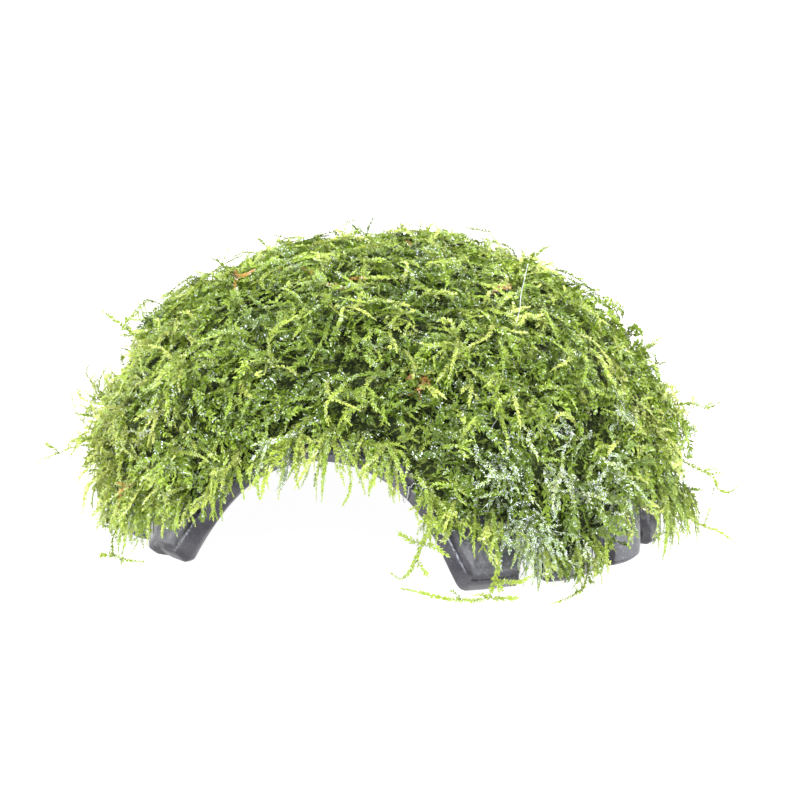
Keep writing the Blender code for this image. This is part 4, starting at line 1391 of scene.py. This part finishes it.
# %% Grow the strays
# Each stray is a stem and its forks. A stem starts with the azimuth and the share of its root on the skin, a
# fork with the number of the stem's point that it leaves. Then come points: azimuth, distance, height.
SPRIGS = {
    "sprig_mouth": (
        ((22, 0.95), (21, 71.4, 17.5), (19.9, 71.5, 13.5), (18.9, 71.3, 10), (17.8, 71, 7), (16.4, 71, 5.6),
         (15, 71, 6.8)),
        (2, (21.8, 72.5, 13.2), (24.2, 74, 11.4)),
        (2, (17.6, 70.6, 14.4), (16, 70, 15.6)),
        (3, (20, 71.6, 8.4), (21, 71.6, 6.6)),
    ),
    "sprig_brow": (
        ((-5.6, 0.95), (-6, 72, 29), (-6.6, 74.4, 26), (-7, 75.2, 22.6)),
        (1, (-3.4, 74.4, 30.4)),
    ),
    "sprig_foot": (
        ((33, 0.97), (33.6, 71, 9), (32.6, 72.2, 5), (31.2, 72.6, 1.4), (27, 72.4, 1.1), (23.6, 69.8, 1.1),
         (19.6, 65, 1.1), (17, 63, 1.1)),
        (2, (36.4, 73.4, 4.6), (38.6, 73.6, 5.6)),
        (3, (34.6, 73.6, 1.2), (36.6, 74, 1.4)),
    ),
    "sprig_left": (
        ((-71, 0.87), (-71.3, 76, 17), (-71.6, 79, 15.6), (-72, 82.5, 14), (-72, 85.8, 12)),
        (2, (-72.6, 81.6, 17.2), (-72.6, 83.4, 17.6)),
    ),
    "sprig_left_upper": (((-71, 0.62), (-71.5, 65, 47), (-72, 69, 50)),),
    "sprig_left_curl": (
        ((-47, 0.98), (-46.5, 71.6, 4.5), (-45, 73, 2), (-41.5, 74.4, 1.1), (-38, 73.6, 1), (-35.8, 71.6, 1)),
        (3, (-43, 77.4, 1.2)),
    ),
    "sprig_right": (((96, 0.87), (96.6, 75.4, 14.4), (97, 77, 11.4), (97, 79.4, 10.4), (97, 81.4, 12)),),
    "sprig_right_low": (
        ((88, 0.97), (88.3, 72, 6.6), (88.6, 75, 5), (89, 78, 4), (89.4, 80.6, 2.6), (89.6, 82.2, 1.4)),
        (2, (91.2, 76, 9)),
    ),
    "sprig_right_upper": (((98, 0.74), (98.4, 70, 31), (98.8, 73.5, 30), (99, 76.5, 31.4)),),
    "sprig_corner": (((54, 0.985), (51, 71.6, 1.4), (48, 74.4, 1.1), (44, 77.6, 1.1), (40, 80, 1.1)),),
    "sprig_back_left": (
        ((-158, 0.9), (-158.6, 75, 12.6), (-160, 78, 9.6), (-161, 79, 6)),
        (1, (-156, 77.6, 14.6)),
    ),
    "sprig_back_right": (
        ((150, 0.84), (151, 76, 19.6), (153, 79.4, 17), (154, 81.2, 13)),
        (2, (155.6, 80.4, 18.4)),
    ),
}
ROOT_DEPTH = 4.0
SPRIG_KNOTS, FORK_KNOTS = 24, 7
STRAY_COARSE = 1.25
BRANCH_REACH = 3.0


def smooth_curve(points, knots):
    """Points at even steps along the chain of cubic pieces through the given points."""
    padded = np.concatenate([[2 * points[0] - points[1]], points, [2 * points[-1] - points[-2]]])
    t = np.linspace(0.0, len(points) - 1, 40 * len(points))
    k = np.minimum(t.astype(int), len(points) - 2)
    t = (t - k)[:, None]
    a, b, c, d = (padded[k + i] for i in range(4))
    curve = 0.5 * (2 * b + (c - a) * t + (2 * a - 5 * b + 4 * c - d) * t**2 + (3 * b - a - 3 * c + d) * t**3)
    return even_steps(curve, knots, closed=False)[0]


def grow_stray(name, stem, forks, draw):
    """One stray shoot with its forks and some small side branches."""
    root = skin_point(*stem[0])
    root = root + off_dome(root) * ROOT_DEPTH
    line = np.array([root] + [on_circle(*point) for point in stem[1:]])
    paths = smooth_curve(line, SPRIG_KNOTS)[None]
    tone = np.array([draw.uniform(0.36, 0.6)])
    facing = unit(off_dome(paths) + (0, 0, 0.3))
    roll = draw.normal(0.0, 0.3, 1)
    thick = np.full(1, 1.3 * STEM_RADIUS)
    blocks = leafy_shoots(paths, facing, roll, tone, thick, draw, STRAY_COARSE)
    for start, *points in forks:
        corners = np.array([line[start]] + [on_circle(*point) for point in points])
        fork = smooth_curve(corners, FORK_KNOTS)[None]
        fork_facing = unit(off_dome(fork) + (0, 0, 0.3))
        blocks += leafy_shoots(fork, fork_facing, roll, tone + 0.03, 0.8 * thick, draw, STRAY_COARSE)
    side, side_facing, turn, hue, parent = side_branches(paths, facing, roll, tone, draw, most=5)
    if len(side):
        reach = np.minimum(1.0, BRANCH_REACH / np.linalg.norm(side[:, -1] - side[:, 0], axis=1))
        side = keep_clear(side[:, :1] + (side - side[:, :1]) * reach[:, None, None], give=1.0)
        blocks += leafy_shoots(side, side_facing, turn, hue, np.full(len(side), 0.7 * STEM_RADIUS), draw)
    piece = add_shoots(name.replace("sprig", "stray"), blocks, young_green)
    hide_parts(name)
    return piece


sprig_draw = np.random.default_rng(19)
strays = [grow_stray(name, stem, forks, sprig_draw) for name, (stem, *forks) in SPRIGS.items()]
print("strays:", len(strays), "with", sum(len(piece.data.polygons) for piece in strays), "faces")

# %% [markdown]
# ## The thread
# The thread is thin nylon line, hardly wider than a stem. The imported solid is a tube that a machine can
# hold. The line to look at follows it where the photo shows it, at the tail and at the mouth's edge, but is
# thinner and smoothly bent, and between the two it sinks into the moss. Each point of the solid's mesh
# belongs to a small ring, so the mean of the points near it is a point of the middle line.

# %% Make the thread
THREAD_RADIUS = 0.085
THREAD_SIDES, THREAD_RINGS = 8, 160
RING_REACH = 0.4
SUNK_IN = 6.0
OVER_SKIN = 1.2


def thread_middle():
    """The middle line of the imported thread, in order from its tail to the inside of the mouth."""
    points = packed_points("tie_thread")[1]
    near = np.linalg.norm(points[:, None] - points, axis=2) < RING_REACH
    middles = (near @ points) / near.sum(axis=1, keepdims=True)
    middles = np.unique(np.round(middles, 1), axis=0)
    line = [int(np.argmax(middles[:, 2]))]
    while len(line) < len(middles):
        gap = np.linalg.norm(middles - middles[line[-1]], axis=1)
        gap[line] = np.inf
        line.append(int(np.argmin(gap)))
    return middles[line]


def make_thread(material):
    """A round tube along the middle line, closed at both ends. Its ring turns against the usual way, so its
    faces are turned round."""
    line = smooth_curve(thread_middle(), THREAD_RINGS)
    run = np.linspace(0.0, 1.0, len(line))
    sunk = SUNK_IN * smooth_step(0.1, 0.16, run) * (1.0 - smooth_step(0.84, 0.9, run))
    sunk = np.clip(sunk, 0.0, np.maximum(height_off_skin(line) - OVER_SKIN, 0.0))
    line = line - off_dome(line) * sunk[:, None]
    tangent = unit(np.gradient(line, axis=0))
    side = unit(np.cross(tangent, off_dome(line)))
    turn = np.linspace(0.0, 2 * np.pi, THREAD_SIDES, endpoint=False)
    ring = leaning(side[:, None], -np.cross(side, tangent)[:, None], turn)
    points = (line[:, None] + THREAD_RADIUS * ring).reshape(-1, 3)
    points = np.concatenate([points, line[:1], line[-1:]])
    faces = [block[:, ::-1] for block in closed_faces(len(line), THREAD_SIDES)]
    piece = add_piece("nylon_thread", points, faces, material)
    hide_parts("tie_thread")
    return piece


def make_nylon():
    material, tree, shader = new_material("nylon", Coat_Roughness=0.05, IOR=1.53)
    shades = add_shades(tree, ((0.5, 0.53, 0.52), (0.4, 0.44, 0.42), (0.7, 0.72, 0.72)), 300.0, 2500.0)
    feed(tree, shader, {"Base Color": shades["Color"]})
    add_film(tree, shader, 700.0, wet=0.08, drained=0.2)
    return material


thread = make_thread(make_nylon())
print("thread:", len(thread.data.polygons), "faces")

# %% [markdown]
# ## Light and ground
# The photo is a bright product picture on pure white. A white world gives the even light, and a large soft
# key from the upper left models the form. A fill from behind lights the crown, and one from each side keeps
# the mat's edges as pale as in the photo. Six small, hard lamps put the sparkle on wet leaves. The floor
# glows, as a light table does, so that it stays almost white under the object.

# %% Light the stage
WORLD_STRENGTH = 1.04
FLOOR_SIZE = 6.0
FLOOR_GLOW = 0.965
# Lamps: name, azimuth, elevation, distance and size in metres, power in watts.
LAMPS = (
    ("soft_key", -48.0, 42.0, 0.9, 0.7, 5.2), ("back_fill", 170.0, 45.0, 1.1, 0.8, 3.0),
    ("right_fill", 98.0, 25.0, 1.0, 0.6, 5.5), ("left_fill", -95.0, 5.0, 1.0, 0.6, 4.5),
)
SPARKLES = ((-70, 40), (-15, 75), (10, 35), (45, 60), (75, 30), (110, 55))
SPARKLE = (1.0, 0.07, 3.4)
LOOK_AT = (0, 0, 0.03)


def make_floor():
    material, tree, shader = new_material("light_table", Roughness=0.6, Emission_Strength=FLOOR_GLOW)
    feed(tree, shader, {"Base Color": (0.4, 0.4, 0.41, 1), "Emission Color": (1.0, 1.0, 1.0, 1)})
    mesh = bpy.data.meshes.new("floor")
    half = FLOOR_SIZE / 2
    corners = [(-half, -half, 0), (half, -half, 0), (half, half, 0), (-half, half, 0)]
    mesh.from_pydata(corners, [], [(0, 1, 2, 3)])
    mesh.materials.append(material)
    floor = put_in_scene("floor", mesh)
    return floor


def make_lamp(name, azimuth, elevation, distance, size, power):
    """A square area lamp that looks at the middle of the object."""
    data = bpy.data.lights.new(name, "AREA")
    data.size = size
    data.energy = power
    lamp = put_in_scene(name, data)
    lamp.location = on_sphere(azimuth, elevation, distance)
    lamp.rotation_euler = (Vector(LOOK_AT) - lamp.location).to_track_quat("-Z", "Y").to_euler()
    return lamp


def make_world():
    world = bpy.data.worlds.new("white_studio")
    world.use_nodes = True
    back = world.node_tree.nodes["Background"]
    feed(world.node_tree, back, {"Color": (1.0, 1.0, 1.0, 1.0), "Strength": WORLD_STRENGTH})
    bpy.context.scene.world = world


floor = make_floor()
lamps = [make_lamp(*lamp) for lamp in LAMPS]
lamps += [make_lamp(f"sparkle_{i + 1}", *place, *SPARKLE) for i, place in enumerate(SPARKLES)]
make_world()
bpy.context.scene.view_settings.view_transform = "Standard"
print("lamps:", [lamp.name for lamp in lamps])
